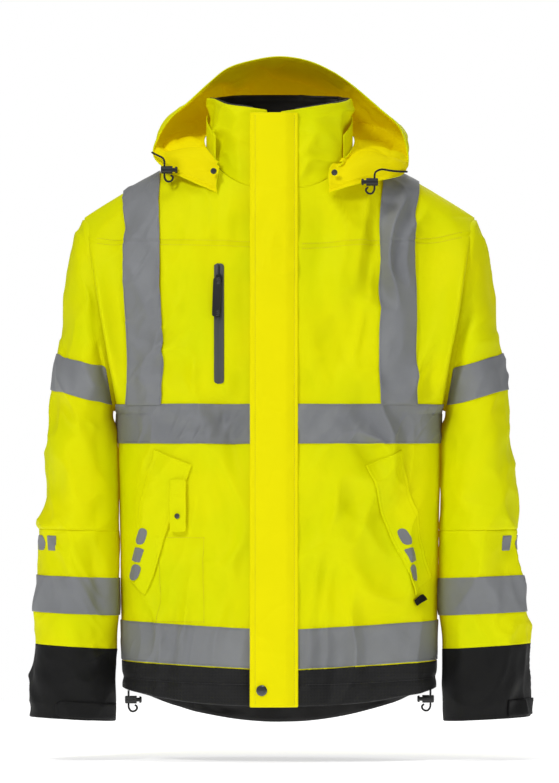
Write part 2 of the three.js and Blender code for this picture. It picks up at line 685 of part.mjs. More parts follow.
function addFrontClosure() {
  const plane = frontPlane();
  const place = (name, geometry, material, lift) => {
    addPiece(name, geometry, material, plane).position.y = -lift;
  };
  const half = ZIP_TAPE_WIDTH / 2;
  const chain = CHAIN_WIDTH / 2;
  const tape = plate(ZIP_X - half, ZIP_X + half, ZIP_BOTTOM_Z - 6, ZIP_TOP_Z + 2, TAPE, 1);
  const teeth = plate(ZIP_X - chain, ZIP_X + chain, ZIP_BOTTOM_Z, ZIP_TOP_Z, CHAIN_THICKNESS, 1);
  place("main_zip", joined(tape, teeth.translate(0, -TAPE / 2, 0)), BLACK, ZIP_TAPE_LIFT);
  const front = ZIP_TAPE_LIFT + TAPE / 2 + CHAIN_THICKNESS + FIT_GAP;
  const slider = plate(ZIP_X - 5.5, ZIP_X + 5.5, ZIP_TOP_Z - 18, ZIP_TOP_Z - 4, SLIDER_THICKNESS, 3);
  const pull = plate(ZIP_X - 4, ZIP_X + 4, ZIP_TOP_Z - 52, ZIP_TOP_Z - 8, PULL_THICKNESS, 3);
  place("main_zip_slider", joined(slider, pull.translate(0, -SLIDER_THICKNESS / 2, 0)), METAL, front);
  const flap = plate(FLAP_LEFT_X, FLAP_RIGHT_X, FLAP_BOTTOM_Z, FLAP_TOP_Z, FLAP_THICKNESS, 3);
  place("storm_flap", flap, YELLOW, FLAP_STAND_OFF);
  const snapAt = (name, radius, height, lift) => {
    const snap = addPiece(name, dome(radius, height), METAL, plane);
    snap.rotation.x = Math.PI;
    snap.position.set(SNAP_X, -lift, SNAP_Z);
  };
  snapAt("flap_snap_cap", SNAP_RADIUS, 3, FLAP_STAND_OFF + FLAP_THICKNESS + FIT_GAP);
  snapAt("flap_snap_stud", SNAP_RADIUS - 2, FLAP_STAND_OFF - 2 * STACK_GAP - FIT_GAP, 2 * STACK_GAP);
}

// A frame on the body's front: +Z straight up the cloth, -Y out of it.
function frameOnFront(side, x, z) {
  const u = Math.abs(x) / outerX(z);
  const normal = bodyNormal(side, false, u, z);
  const yAxis = normal.clone().negate();
  const xAxis = new THREE.Vector3().crossVectors(yAxis, new THREE.Vector3(0, 0, 1)).normalize();
  const zAxis = new THREE.Vector3().crossVectors(xAxis, yAxis);
  const group = new THREE.Group();
  group.quaternion.setFromRotationMatrix(new THREE.Matrix4().makeBasis(xAxis, yAxis, zAxis));
  group.position.copy(bodyPoint(side, false, u, z));
  raised.add(group);
  return group;
}

function addChestZip() {
  const middle = (CHEST_ZIP_BOTTOM_Z + CHEST_ZIP_TOP_Z) / 2;
  const half = (CHEST_ZIP_TOP_Z - CHEST_ZIP_BOTTOM_Z) / 2;
  const frame = frameOnFront(-1, CHEST_ZIP_X, middle);
  const across = CHEST_ZIP_WIDTH / 2;
  const tape = addPiece("chest_zip_tape", plate(-across, across, -half, half, TAPE, 5), RUBBER, frame);
  tape.position.y = -STACK_GAP;
  const top = half - CHEST_ZIP_STEP;
  const sliderPlate = plate(-4, 4, top - 6, top + 6, SLIDER_THICKNESS, 2.5);
  const slider = addPiece("chest_zip_slider", sliderPlate, METAL, frame);
  slider.position.y = -(STACK_GAP + TAPE + FIT_GAP);
  const lift = STACK_GAP + TAPE + SLIDER_THICKNESS + 2 * FIT_GAP;
  const pull = plate(-4.5, 4.5, top - CHEST_PULL_LENGTH, top + 2, CHEST_PULL_THICKNESS, 3);
  addPiece("chest_zip_pull", pull, RUBBER, frame).position.y = -lift;
}

// ---- Hand pockets -------------------------------------------------------------------------------------

function quadLayer(side, corners, rows, cols, lift, thickness) {
  const [topInner, topOuter, bottomInner, bottomOuter] = corners;
  const place = (i, s, t) => mix(mix(bottomInner[i], bottomOuter[i], s), mix(topInner[i], topOuter[i], s), t);
  const grid = fillGrid(rows, cols, (s, t) => {
    const across = side < 0 ? 1 - s : s;
    const z = place(1, across, t);
    const u = place(0, across, t) / outerX(z);
    return bodyPoint(side, false, u, z).addScaledVector(bodyNormal(side, false, u, z), lift);
  });
  return sheetSolid(grid, thickness);
}

function addPockets() {
  const flapCorners = [POCKET_TOP_INNER, POCKET_TOP_OUTER, POCKET_BOTTOM_INNER, POCKET_BOTTOM_OUTER];
  for (const { side, word } of SIDES) {
    const flap = quadLayer(side, flapCorners, 7, 8, STACK_GAP + POCKET_FLAP, POCKET_FLAP);
    addPiece(`pocket_flap_${word}`, flap, YELLOW);
    const bag = quadLayer(side, POCKET_BAG, 9, 7, -(SHELL + POCKET_BAG_GAP), POCKET_BAG_THICKNESS);
    addPiece(`pocket_bag_${word}`, bag, BLACK);
  }
  const frame = frameOnFront(-1, SNAP_TAB_X, SNAP_TAB_TOP_Z - SNAP_TAB_LENGTH / 2);
  const half = SNAP_TAB_WIDTH / 2;
  const reach = SNAP_TAB_LENGTH / 2;
  addPiece("snap_tab", plate(-half, half, -reach, reach, 1.6, 4), YELLOW, frame).position.y = -SNAP_TAB_LIFT;
  const stud = addPiece("snap_tab_stud", dome(SNAP_TAB_STUD_RADIUS, 2), METAL, frame);
  stud.rotation.x = Math.PI;
  stud.position.set(0, -(SNAP_TAB_LIFT + 1.6 + FIT_GAP), SNAP_TAB_STUD_Z - reach);
}

// ---- Cords, locks and hanger loop ---------------------------------------------------------------------

function cordTube(points, radius, steps) {
  const path = new THREE.CatmullRomCurve3(points.map((p) => new THREE.Vector3(...p)), false, "centripetal");
  const section = new THREE.Shape().absarc(0, 0, radius, 0, 2 * Math.PI, false);
  const sweep = { steps, extrudePath: path, curveSegments: 4, bevelEnabled: false };
  return new THREE.ExtrudeGeometry(section, sweep);
}

// A lock in its own frame: the barrel lies along X with its button at the +X end, the cord runs along Z.
function lockBody() {
  const half = LOCK_LENGTH / 2;
  const floor = half - STEM_LENGTH - FIT_GAP;
  const profile = [[0, -half], [LOCK_RADIUS - 1, -half], [LOCK_RADIUS, 1 - half], [LOCK_RADIUS, half]];
  profile.push([STEM_BORE, half], [STEM_BORE, floor], [0, floor]);
  const barrel = new THREE.LatheGeometry(profile.map(([x, y]) => new THREE.Vector2(x, y)), 14);
  barrel.rotateZ(-Math.PI / 2);
  const bore = new THREE.CylinderGeometry(LOCK_BORE, LOCK_BORE, 4 * LOCK_RADIUS, 8);
  bore.rotateX(Math.PI / 2).translate(LOCK_CORD_X, 0, 0);
  return fromSolid(toSolid(barrel).subtract(toSolid(bore)));
}

function lockButton() {
  const half = LOCK_LENGTH / 2;
  const start = half - STEM_LENGTH + BUTTON_TRAVEL;
  const head = half + BUTTON_TRAVEL + FIT_GAP;
  const profile = [[0, start], [STEM_RADIUS, start], [STEM_RADIUS, head], [BUTTON_RADIUS, head]];
  const crown = head + BUTTON_HEAD;
  profile.push([BUTTON_RADIUS, crown - 1], [BUTTON_RADIUS - 1, crown], [0, crown]);
  const button = new THREE.LatheGeometry(profile.map(([x, y]) => new THREE.Vector2(x, y)), 14);
  return button.rotateZ(-Math.PI / 2);
}

function addLocks() {
  for (const { name, place, forward, turn, route } of CORD_LOCKS) {
    const frame = new THREE.Group();
    frame.position.set(...(place ?? onHood(forward)));
    frame.rotation.z = THREE.MathUtils.degToRad(turn);
    raised.add(frame);
    addPiece(`${name}_lock`, lockBody(), RUBBER, frame);
    addPiece(`${name}_button`, lockButton(), RUBBER, frame);
    addPiece(`${name}_cord`, cordTube([...route, ...LOOP_ROUTE], CORD_RADIUS, 24), BLACK, frame);
  }
}

function addHangerLoop() {
  const half = HANGER_WIDTH / 2;
  const points = [[-half, HANGER_Y + 2, HANGER_Z], [-half + 3, HANGER_Y, HANGER_Z - HANGER_DROP / 2]];
  points.push([-half + 10, HANGER_Y, HANGER_Z - HANGER_DROP], [half - 10, HANGER_Y, HANGER_Z - HANGER_DROP]);
  points.push([half - 3, HANGER_Y, HANGER_Z - HANGER_DROP / 2], [half, HANGER_Y + 2, HANGER_Z]);
  addPiece("hanger_loop", cordTube(points, HANGER_RADIUS, 16), BLACK);
}

addBodyPanels();
addHemTrim();
addBands();
addSleeves();
addCollar();
addHood();
addFrontClosure();
addChestZip();
addPockets();
addLocks();
addHangerLoop();
raised.position.set(0, -HANGER_Y, -(HANGER_Z - HANGER_DROP));

export default jacket;
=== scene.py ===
"""Looks of a hooded, padded high-visibility jacket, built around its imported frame.

Lengths are in metres. Shapes are worked out in the jacket's own frame, whose height starts at the lowest
point of the drop tail, and are shifted once into the row frame when a mesh is made.
"""

import logging
import math
from dataclasses import dataclass, field
from enum import Enum
from typing import Callable, Iterable, Sequence

import bmesh
import bpy
import numpy as np
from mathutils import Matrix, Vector


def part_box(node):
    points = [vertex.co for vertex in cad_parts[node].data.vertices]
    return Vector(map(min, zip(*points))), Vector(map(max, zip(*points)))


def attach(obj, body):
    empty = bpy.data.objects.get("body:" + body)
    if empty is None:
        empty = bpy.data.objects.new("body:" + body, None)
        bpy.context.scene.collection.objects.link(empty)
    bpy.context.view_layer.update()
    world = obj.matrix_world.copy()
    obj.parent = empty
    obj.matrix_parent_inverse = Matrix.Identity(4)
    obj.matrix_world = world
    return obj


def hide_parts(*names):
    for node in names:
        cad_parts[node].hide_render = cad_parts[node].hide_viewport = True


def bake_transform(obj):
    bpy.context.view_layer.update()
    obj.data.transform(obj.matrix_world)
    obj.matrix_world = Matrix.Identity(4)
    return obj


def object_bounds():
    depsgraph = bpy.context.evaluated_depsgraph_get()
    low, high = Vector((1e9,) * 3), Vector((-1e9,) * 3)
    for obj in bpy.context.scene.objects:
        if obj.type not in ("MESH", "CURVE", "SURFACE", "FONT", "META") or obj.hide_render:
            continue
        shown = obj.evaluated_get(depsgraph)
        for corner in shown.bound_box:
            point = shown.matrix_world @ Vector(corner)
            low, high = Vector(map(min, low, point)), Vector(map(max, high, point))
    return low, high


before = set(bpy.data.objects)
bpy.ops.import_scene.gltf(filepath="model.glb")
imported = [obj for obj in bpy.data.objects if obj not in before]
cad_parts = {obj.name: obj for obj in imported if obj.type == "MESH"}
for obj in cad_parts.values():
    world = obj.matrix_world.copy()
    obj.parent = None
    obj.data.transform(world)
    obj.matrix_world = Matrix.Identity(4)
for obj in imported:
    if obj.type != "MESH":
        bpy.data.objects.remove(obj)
CAD_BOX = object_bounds()

log = logging.getLogger("jacket")
MM = 0.001
BACK_DEPTH = 132 * MM
ZIP_X = -7 * MM
ZIP_OPENING = 9 * MM
ORIGIN = np.array([0.0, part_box("back_shell")[1].y - BACK_DEPTH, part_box("drop_tail")[0].z])


class Face(Enum):
    """Which half of the body a panel lies on."""

    FRONT = 0
    BACK = 1


class Side(Enum):
    """Left or right as seen from the front, with its sign along X."""

    LEFT = -1
    RIGHT = 1

    @property
    def word(self) -> str:
        """The side's name as the frame's nodes use it."""
        return self.name.lower()


# ---- Shape of the cut ---------------------------------------------------------------------------------


def mix(a: np.ndarray, b: np.ndarray, t: np.ndarray) -> np.ndarray:
    """Goes from a to b as t goes from 0 to 1."""
    return a + (b - a) * t


def bump(x: np.ndarray, centre: float, width: float) -> np.ndarray:
    """A smooth hill of height 1 about centre, which fades over width."""
    return np.exp(-(((x - centre) / width) ** 2))


def smooth(x: np.ndarray, low: float, high: float) -> np.ndarray:
    """Rises smoothly from 0 at low to 1 at high."""
    t = np.clip((x - low) / (high - low), 0, 1)
    return t * t * (3 - 2 * t)


@dataclass(frozen=True)
class BodyCut:
    """The body's outer surface: a squarish tube that closes to the shoulder seams and the neck ring."""

    hem_half: float = 199 * MM
    waist_half: float = 204 * MM
    chest_half: float = 207 * MM
    waist_z: float = 250 * MM
    underarm_z: float = 400 * MM
    tip_x: float = 250 * MM
    tip_y: float = 4 * MM
    tip_z: float = 650 * MM
    shoulder_bow: float = 7 * MM
    armhole_half: float = 76 * MM
    armhole_reach: float = 14.0
    front_depth: float = 150 * MM
    front_lean: float = 0.06
    power: float = 2.6
    shoulder_round: float = 120 * MM
    neck_half: float = 88 * MM
    neck_front_z: float = 685 * MM
    neck_side_z: float = 735 * MM
    neck_back_z: float = 750 * MM
    neck_back_y: float = 70 * MM
    hem_front_z: float = 28 * MM
    hem_side_z: float = 48 * MM
    trim_top: float = 71 * MM
    trim_rise: float = 11 * MM

    def outer_x(self, z: np.ndarray) -> np.ndarray:
        """Half width at a height: the side seam, then the armhole line.

        Args:
            z: Heights.

        Returns:
            The half width at each height.
        """
        low = mix(self.hem_half, self.waist_half, np.clip(z / self.waist_z, 0, 1))
        rise = np.clip((z - self.waist_z) / (self.underarm_z - self.waist_z), 0, 1)
        middle = mix(low, self.chest_half, rise)
        lift = np.clip((z - self.underarm_z) / (self.tip_z - self.underarm_z), 0, 1)
        return mix(middle, self.tip_x, lift)

    def armhole(self, z: np.ndarray) -> np.ndarray:
        """Half depth of the armhole at a height, nothing below the underarm."""
        centre = (self.underarm_z + self.tip_z) / 2
        away = (z - centre) / (self.tip_z - centre)
        return self.armhole_half * np.sqrt(np.clip(1 - away**2, 0, None))

    def front_y(self, z: np.ndarray) -> np.ndarray:
        """The flat front's depth, which leans back as it rises."""
        return -(self.front_depth - self.front_lean * z)

    def ring(self, angle: np.ndarray, half: float, front: float,
             back: float) -> tuple[np.ndarray, np.ndarray]:
        """A squarish ring in plan.

        Args:
            angle: Angles from the front.
            half: Half width.
            front: Depth of the foremost point.
            back: Depth of the rearmost point.

        Returns:
            The ring's x and y.
        """
        def square(v: np.ndarray) -> np.ndarray:
            """Pushes a sine or cosine out towards a square."""
            return np.sign(v) * np.abs(v) ** (2 / self.power)

        middle = (front + back) / 2
        return half * square(np.sin(angle)), middle - (back - middle) * square(np.cos(angle))

    def neck(self, angle: np.ndarray) -> np.ndarray:
        """The neckline's points by angle from the centre front round over +X.

        Args:
            angle: Angles from the centre front.

        Returns:
            Points with a last axis of 3.
        """
        x, y = self.ring(angle, self.neck_half, float(self.front_y(self.neck_front_z)), self.neck_back_y)
        bow = self.neck_side_z - (self.neck_front_z + self.neck_back_z) / 2
        z = mix(self.neck_front_z, self.neck_back_z, (1 - np.cos(angle)) / 2) + bow * np.sin(angle) ** 2
        return np.stack([x, y, z], -1)

    def top(self, u: np.ndarray, face: Face) -> tuple[np.ndarray, np.ndarray]:
        """Upper edge of a panel: the neckline, then the shoulder seam.

        Args:
            u: Shares of the half width.
            face: Front or back.

        Returns:
            The edge's y and z.
        """
        share = self.neck_half / self.tip_x
        turn = np.arcsin(np.clip(u / share, 0, 1) ** (self.power / 2))
        neck = self.neck(turn if face is Face.FRONT else math.pi - turn)
        corner = self.neck(np.array(math.pi / 2))
        t = np.clip((u - share) / (1 - share), 0, 1)
        seam_y = mix(corner[1], self.tip_y, t)
        seam_z = mix(corner[2], self.tip_z, t) + self.shoulder_bow * np.sin(math.pi * t)
        at_neck = u < share
        return np.where(at_neck, neck[..., 1], seam_y), np.where(at_neck, neck[..., 2], seam_z)

    def point(self, side: np.ndarray, face: Face, u: np.ndarray, z: np.ndarray) -> np.ndarray:
        """A point of the outer surface.

        Args:
            side: Sign along X.
            face: Front or back.
            u: Share of the half width.
            z: Height.

        Returns:
            Points with a last axis of 3.
        """
        u = np.clip(u, 0, 1)
        top_y, top_z = self.top(u, face)
        sign = 1 if face is Face.BACK else -1
        centre = BACK_DEPTH if face is Face.BACK else self.front_y(z)
        bulge = np.clip(1 - u**self.power, 0, None) ** (1 / self.power)
        full = centre * bulge + sign * self.armhole(z) * u**self.armhole_reach
        level = np.clip((top_z - z) / self.shoulder_round, 0, 1)
        y = mix(top_y, full, np.sqrt(level * (2 - level)))
        return np.stack(np.broadcast_arrays(side * u * self.outer_x(z), y, z), -1)

    def normal(self, side: np.ndarray, face: Face, u: np.ndarray, z: np.ndarray) -> np.ndarray:
        """Unit normals that point out of the body at the given places.

        Args:
            side: Sign along X.
            face: Front or back.
            u: Shares of the half width.
            z: Heights.

        Returns:
            Unit vectors with a last axis of 3.
        """
        step = 0.004
        low, high = np.clip(u - step, 0, 1), np.clip(u + step, 0, 1)
        across = self.point(side, face, high, z) - self.point(side, face, low, z)
        up = self.point(side, face, u, z + MM) - self.point(side, face, u, z - MM)
        normal = np.cross(across, up) * np.asarray(side * (-1 if face is Face.BACK else 1))[..., None]
        return normal / np.maximum(np.linalg.norm(normal, axis=-1, keepdims=True), 1e-9)

    def spread(self, start: np.ndarray, s: np.ndarray, z: np.ndarray) -> np.ndarray:
        """Shares of the half width spaced evenly round the body from start (an x) to the side seam."""
        first = np.arcsin(np.clip(start / self.outer_x(z), 0, 1) ** (self.power / 2))
        return np.sin(mix(first, math.pi / 2, s)) ** (2 / self.power)

    def hem(self, u: np.ndarray, face: Face) -> np.ndarray:
        """Height of the hem at a share of the half width."""
        if face is Face.BACK:
            return self.hem_side_z * u * u
        return mix(self.hem_front_z, self.hem_side_z, np.abs(u) ** 2.5)

    def trim(self, u: np.ndarray) -> np.ndarray:
        """Height where the black trim ends and the yellow cloth starts."""
        return self.trim_top + self.trim_rise * u


@dataclass(frozen=True)
class SleeveCut:
    """A sleeve's sections, from the armhole down to the cuff, as on the right side."""

    inner: tuple = ((213, 401.5), (213, 400), (212.8, 398.5), (212.8, 397), (212.6, 394.5), (212.2, 391),
                    (211.5, 384), (211, 300), (210.5, 249), (210, 188), (209, 141), (208.5, 98), (210, 6))
    outer: tuple = ((253.2, 647), (263.5, 622), (270, 585), (277, 532), (284.5, 478), (291, 430),
                    (297, 375), (305, 298), (309.5, 251), (314, 192), (318, 146), (321, 105), (323, 12))
    half_depth: tuple = (75, 77, 79, 80, 80, 79, 77, 74, 72, 70, 67, 65, 60)
    middle: tuple = (4, 4, 3, 1, -1, -2, -4, -9, -13, -18, -22, -24, -28)
    bend: float = 6.0
    elbow: float = 8.0
    cuff: float = 11.0
    end: float = 12.0

    def _track(self, values: Sequence, place: np.ndarray) -> np.ndarray:
        """Runs a smooth curve through one value of every section.

        Args:
            values: One value or point of each section, in mm.
            place: Places along the sections.

        Returns:
            The value at each place, in metres.
        """
        v = np.asarray(values, float) * MM
        k = np.clip(np.floor(place).astype(int), 0, len(v) - 2)
        t = place - k
        before, a, b, after = v[np.maximum(k - 1, 0)], v[k], v[k + 1], v[np.minimum(k + 2, len(v) - 1)]
        if v.ndim == 2:
            t = t[..., None]
        slope_a, slope_b = (b - before) / 2, (after - a) / 2
        lone = (b - a)
        slope_a = mix(slope_a, lone, 0.5)
        slope_b = mix(slope_b, lone, 0.5)
        return ((2 * t**3 - 3 * t**2 + 1) * a + (t**3 - 2 * t**2 + t) * slope_a
                + (-2 * t**3 + 3 * t**2) * b + (t**3 - t**2) * slope_b)

    def point(self, side: Side, place: np.ndarray, angle: np.ndarray, lift: float = 0.0) -> np.ndarray:
        """A point of the sleeve.

        Args:
            side: Left or right.
            place: Place along the sections.
            angle: 0 at the outer side, a quarter turn at the front, a half turn next to the body.
            lift: Height above the cloth.

        Returns:
            Points with a last axis of 3.
        """
        inner, outer = self._track(self.inner, place), self._track(self.outer, place)
        reach = (outer - inner) / 2
        grow = (1 + lift / np.linalg.norm(reach, axis=-1)) * np.cos(angle)
        depth = self._track(self.half_depth, place) + lift
        x = inner[..., 0] + reach[..., 0] * (1 + grow)
        z = inner[..., 1] + reach[..., 1] * (1 + grow)
        y = self._track(self.middle, place) - depth * np.sin(angle)
        return np.stack([side.value * x, y, z], -1)


BODY = BodyCut()
SLEEVE = SleeveCut()


# ---- Folds of the cloth -------------------------------------------------------------------------------


def lattice(p: np.ndarray, seed: int) -> np.ndarray:
    """Smooth noise from -1 to 1 at points, on a lattice of unit cells.

    Args:
        p: Points with a last axis of 3.
        seed: Chooses one pattern.

    Returns:
        One value for each point.
    """
    cell = np.floor(p).astype(np.int64)
    t = p - cell
    t = t * t * t * (t * (t * 6 - 15) + 10)
    total = np.zeros(p.shape[:-1])
    for corner in range(8):
        offset = np.array([corner & 1, corner >> 1 & 1, corner >> 2 & 1])
        c = cell + offset
        h = (c[..., 0] * 73856093) ^ (c[..., 1] * 19349663) ^ (c[..., 2] * 83492791) ^ (seed * 2654435761)
        h = (h ^ (h >> 13)) * 1274126177
        value = ((h ^ (h >> 16)) & 0xFFFF) / 32767.5 - 1
        weight = np.prod(np.where(offset == 1, t, 1 - t), axis=-1)
        total += value * weight
    return total


@dataclass(frozen=True)
class Crease:
    """One fold of the cloth seen from the front: a ridge or a groove between two points given as x and z."""

    start: tuple[float, float]
    end: tuple[float, float]
    height: float
    width: float = 0.009

    def lift(self, x: np.ndarray, z: np.ndarray) -> np.ndarray:
        """Height that the fold adds at places seen from the front.

        Args:
            x: Places along X.
            z: Heights.

        Returns:
            The height at each place.
        """
        a, b = np.array(self.start) * MM, np.array(self.end) * MM
        along = b - a
        t = ((x - a[0]) * along[0] + (z - a[1]) * along[1]) / float(along @ along)
        nearest = np.clip(t, 0, 1)
        away = np.hypot(x - a[0] - nearest * along[0], z - a[1] - nearest * along[1])
        fade = np.sqrt(np.clip(4 * nearest * (1 - nearest), 0, 1))
        width = self.width * (0.6 + 0.4 * fade)
        ridge = np.exp(-((away / width) ** 2)) - 0.45 * np.exp(-((away / (2.2 * width)) ** 2))
        return self.height * fade * ridge


@dataclass(frozen=True)
class Folds:
    """How a piece of cloth is creased: broad swells, soft creases and fine crumples."""

    swell: float = 2.0 * MM
    swell_size: tuple = (0.12, 0.12, 0.16)
    crease: float = 1.6 * MM
    crease_size: tuple = (0.05, 0.05, 0.08)
    crumple: float = 0.35 * MM
    crumple_size: tuple = (0.018, 0.018, 0.018)
    turn: float = 0.0
    seed: int = 1

    def lift(self, p: np.ndarray) -> np.ndarray:
        """Height of the folds at points.

        Args:
            p: Points with a last axis of 3.

        Returns:
            The height along the normal at each point.
        """
        c, s = math.cos(self.turn), math.sin(self.turn)
        q = np.stack([c * p[..., 0] - s * p[..., 2], p[..., 1], s * p[..., 0] + c * p[..., 2]], -1)
        swell = lattice(q / self.swell_size, self.seed)
        bend = 0.5 * np.stack([lattice(q / 0.09 + k * 7.3, self.seed + 11 + k) for k in range(3)], -1)
        ridged = 1 - np.abs(lattice(q / self.crease_size + bend, self.seed + 5)) * 2
        second = 1 - np.abs(lattice(q * 1.7 / self.crease_size + 1.4 * bend, self.seed + 6)) * 2
        fine = lattice(q / self.crumple_size + 2 * bend, self.seed + 8)
        ridges = self.crease * (0.7 * ridged + 0.3 * second - 0.45)
        return self.swell * swell + ridges + self.crumple * fine


# ---- Meshes -------------------------------------------------------------------------------------------

EDGE_ROUND = 0.35


def new_object(name: str, points: np.ndarray, faces: Iterable[Sequence[int]]) -> bpy.types.Object:
    """Makes a mesh object in the row frame.

    Args:
        name: Piece name.
        points: Vertices in the jacket's own frame.
        faces: Vertex numbers of each face.

    Returns:
        The new object, at the origin.
    """
    mesh = bpy.data.meshes.new(name)
    mesh.from_pydata((np.asarray(points) + ORIGIN).tolist(), [], [list(f) for f in faces])
    mesh.validate()
    mesh.shade_smooth()
    obj = bpy.data.objects.new(name, mesh)
    bpy.context.scene.collection.objects.link(obj)
    return obj


def grid_normals(grid: np.ndarray, wraps: bool) -> np.ndarray:
    """Unit normals of a grid of points, (along the rows) x (along the columns).

    Args:
        grid: Rows by columns by 3.
        wraps: Whether the last row meets the first.

    Returns:
        One unit vector for each point.
    """
    if wraps:
        along = np.roll(grid, -1, 0) - np.roll(grid, 1, 0)
    else:
        along = np.gradient(grid, axis=0)
    normal = np.cross(along, np.gradient(grid, axis=1))
    return normal / np.maximum(np.linalg.norm(normal, axis=-1, keepdims=True), 1e-9)


def cloth(name: str, grid: np.ndarray, thickness: float, wraps: bool = False) -> bpy.types.Object:
    """A closed sheet of cloth with rounded edges.

    Args:
        name: Piece name.
        grid: Outer face as rows by columns by 3, with its normal pointing out.
        thickness: Distance to the inner face.
        wraps: Whether the last row meets the first.

    Returns:
        The piece.
    """
    rows, cols = grid.shape[:2]
    normal = grid_normals(grid, wraps)
    inner = grid - normal * thickness
    points = np.concatenate([grid.reshape(-1, 3), inner.reshape(-1, 3)])
    step = np.arange(rows if wraps else rows - 1)
    i, j = [a.ravel() for a in np.meshgrid(step, np.arange(cols - 1), indexing="ij")]
    after = (i + 1) % rows
    n = rows * cols
    a, b, c, d = i * cols + j, after * cols + j, after * cols + j + 1, i * cols + j + 1
    faces = [np.stack([a, b, c, d], -1), np.stack([n + a, n + d, n + c, n + b], -1)]

    def rim(outer: np.ndarray, inside: np.ndarray, closed: bool, flip: bool) -> None:
        """Closes one edge, with a middle line pushed out a little so that the edge is round.

        Args:
            outer: Points along the edge of the outer face.
            inside: The points next to them, away from the edge.
            closed: Whether the edge's end meets its start.
            flip: Whether the faces run the other way round.
        """
        nonlocal points
        line, back = points[outer], points[outer + n]
        inward = points[inside] - line
        inward /= np.maximum(np.linalg.norm(inward, axis=-1, keepdims=True), 1e-9)
        centre = (line + back) / 2 - inward * thickness * EDGE_ROUND
        first = len(points)
        points = np.concatenate([points, centre])
        mid = first + np.arange(len(outer))
        k = np.arange(len(outer) if closed else len(outer) - 1)
        nxt = (k + 1) % len(outer)
        for top, low in ((outer, mid), (mid, outer + n)):
            quad = [top[k], top[nxt], low[nxt], low[k]]
            faces.append(np.stack(quad[::-1] if flip else quad, -1))

    row, col = np.arange(rows), np.arange(cols)
    rim(row * cols, row * cols + 1, wraps, True)
    rim(row * cols + cols - 1, row * cols + cols - 2, wraps, False)
    if not wraps:
        rim(col, cols + col, False, False)
        rim((rows - 1) * cols + col, (rows - 2) * cols + col, False, True)
    obj = new_object(name, points, np.concatenate(faces).tolist())
    layer = np.zeros(len(obj.data.polygons), np.int32)
    layer[len(a):2 * len(a)] = 1
    obj.data.polygons.foreach_set("material_index", layer)
    weld(obj)
    unwrap(obj)
    return obj


def weld(obj: bpy.types.Object, distance: float = 0.05 * MM) -> None:
    """Merges doubled points and closes small holes left at a sheet's corners.

    Args:
        obj: The piece.
        distance: Points closer than this are merged.
    """
    mesh = bmesh.new()
    mesh.from_mesh(obj.data)
    bmesh.ops.remove_doubles(mesh, verts=mesh.verts, dist=distance)
    open_edges = [e for e in mesh.edges if e.is_boundary]
    if open_edges:
        bmesh.ops.holes_fill(mesh, edges=open_edges, sides=8)
    mesh.to_mesh(obj.data)
    mesh.free()
    obj.data.shade_smooth()


def dress(obj: bpy.types.Object, body: str, material: bpy.types.Material, slot: str,
          *nodes: str) -> bpy.types.Object:
    """Gives a piece its finish, its body and the CAD nodes that it stands for.

    Args:
        obj: The piece.
        body: CAD body that it moves with.
        material: Its finish.
        slot: Not used.
        nodes: CAD nodes that it replaces.

    Returns:
        The piece.
    """
    obj.data.materials.append(material)
    obj.data.polygons.foreach_set("material_index", np.zeros(len(obj.data.polygons), np.int32))
    if body:
        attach(obj, body)
    if nodes:
        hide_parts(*nodes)
    log.info("%s: %d faces on %s", obj.name, len(obj.data.polygons), body or "two bodies")
    return obj


# ---- Finishes -----------------------------------------------------------------------------------------


def srgb(red: int, green: int, blue: int) -> tuple[float, float, float, float]:
    """Turns a colour of 0 to 255 a channel into the linear one that shaders take.

    Args:
        red: Red, 0 to 255.
        green: Green, 0 to 255.
        blue: Blue, 0 to 255.

    Returns:
        Red, green, blue and an alpha of 1.
    """
    def linear(value: int) -> float:
        """One channel."""
        c = value / 255
        return c / 12.92 if c <= 0.04045 else ((c + 0.055) / 1.055) ** 2.4

    return linear(red), linear(green), linear(blue), 1.0


class Grain(Enum):
    """What a finish shows close up."""

    WEAVE = "weave"
    QUILT = "quilt"
    BEADS = "beads"
    MOULDED = "moulded"
    BRUSHED = "brushed"


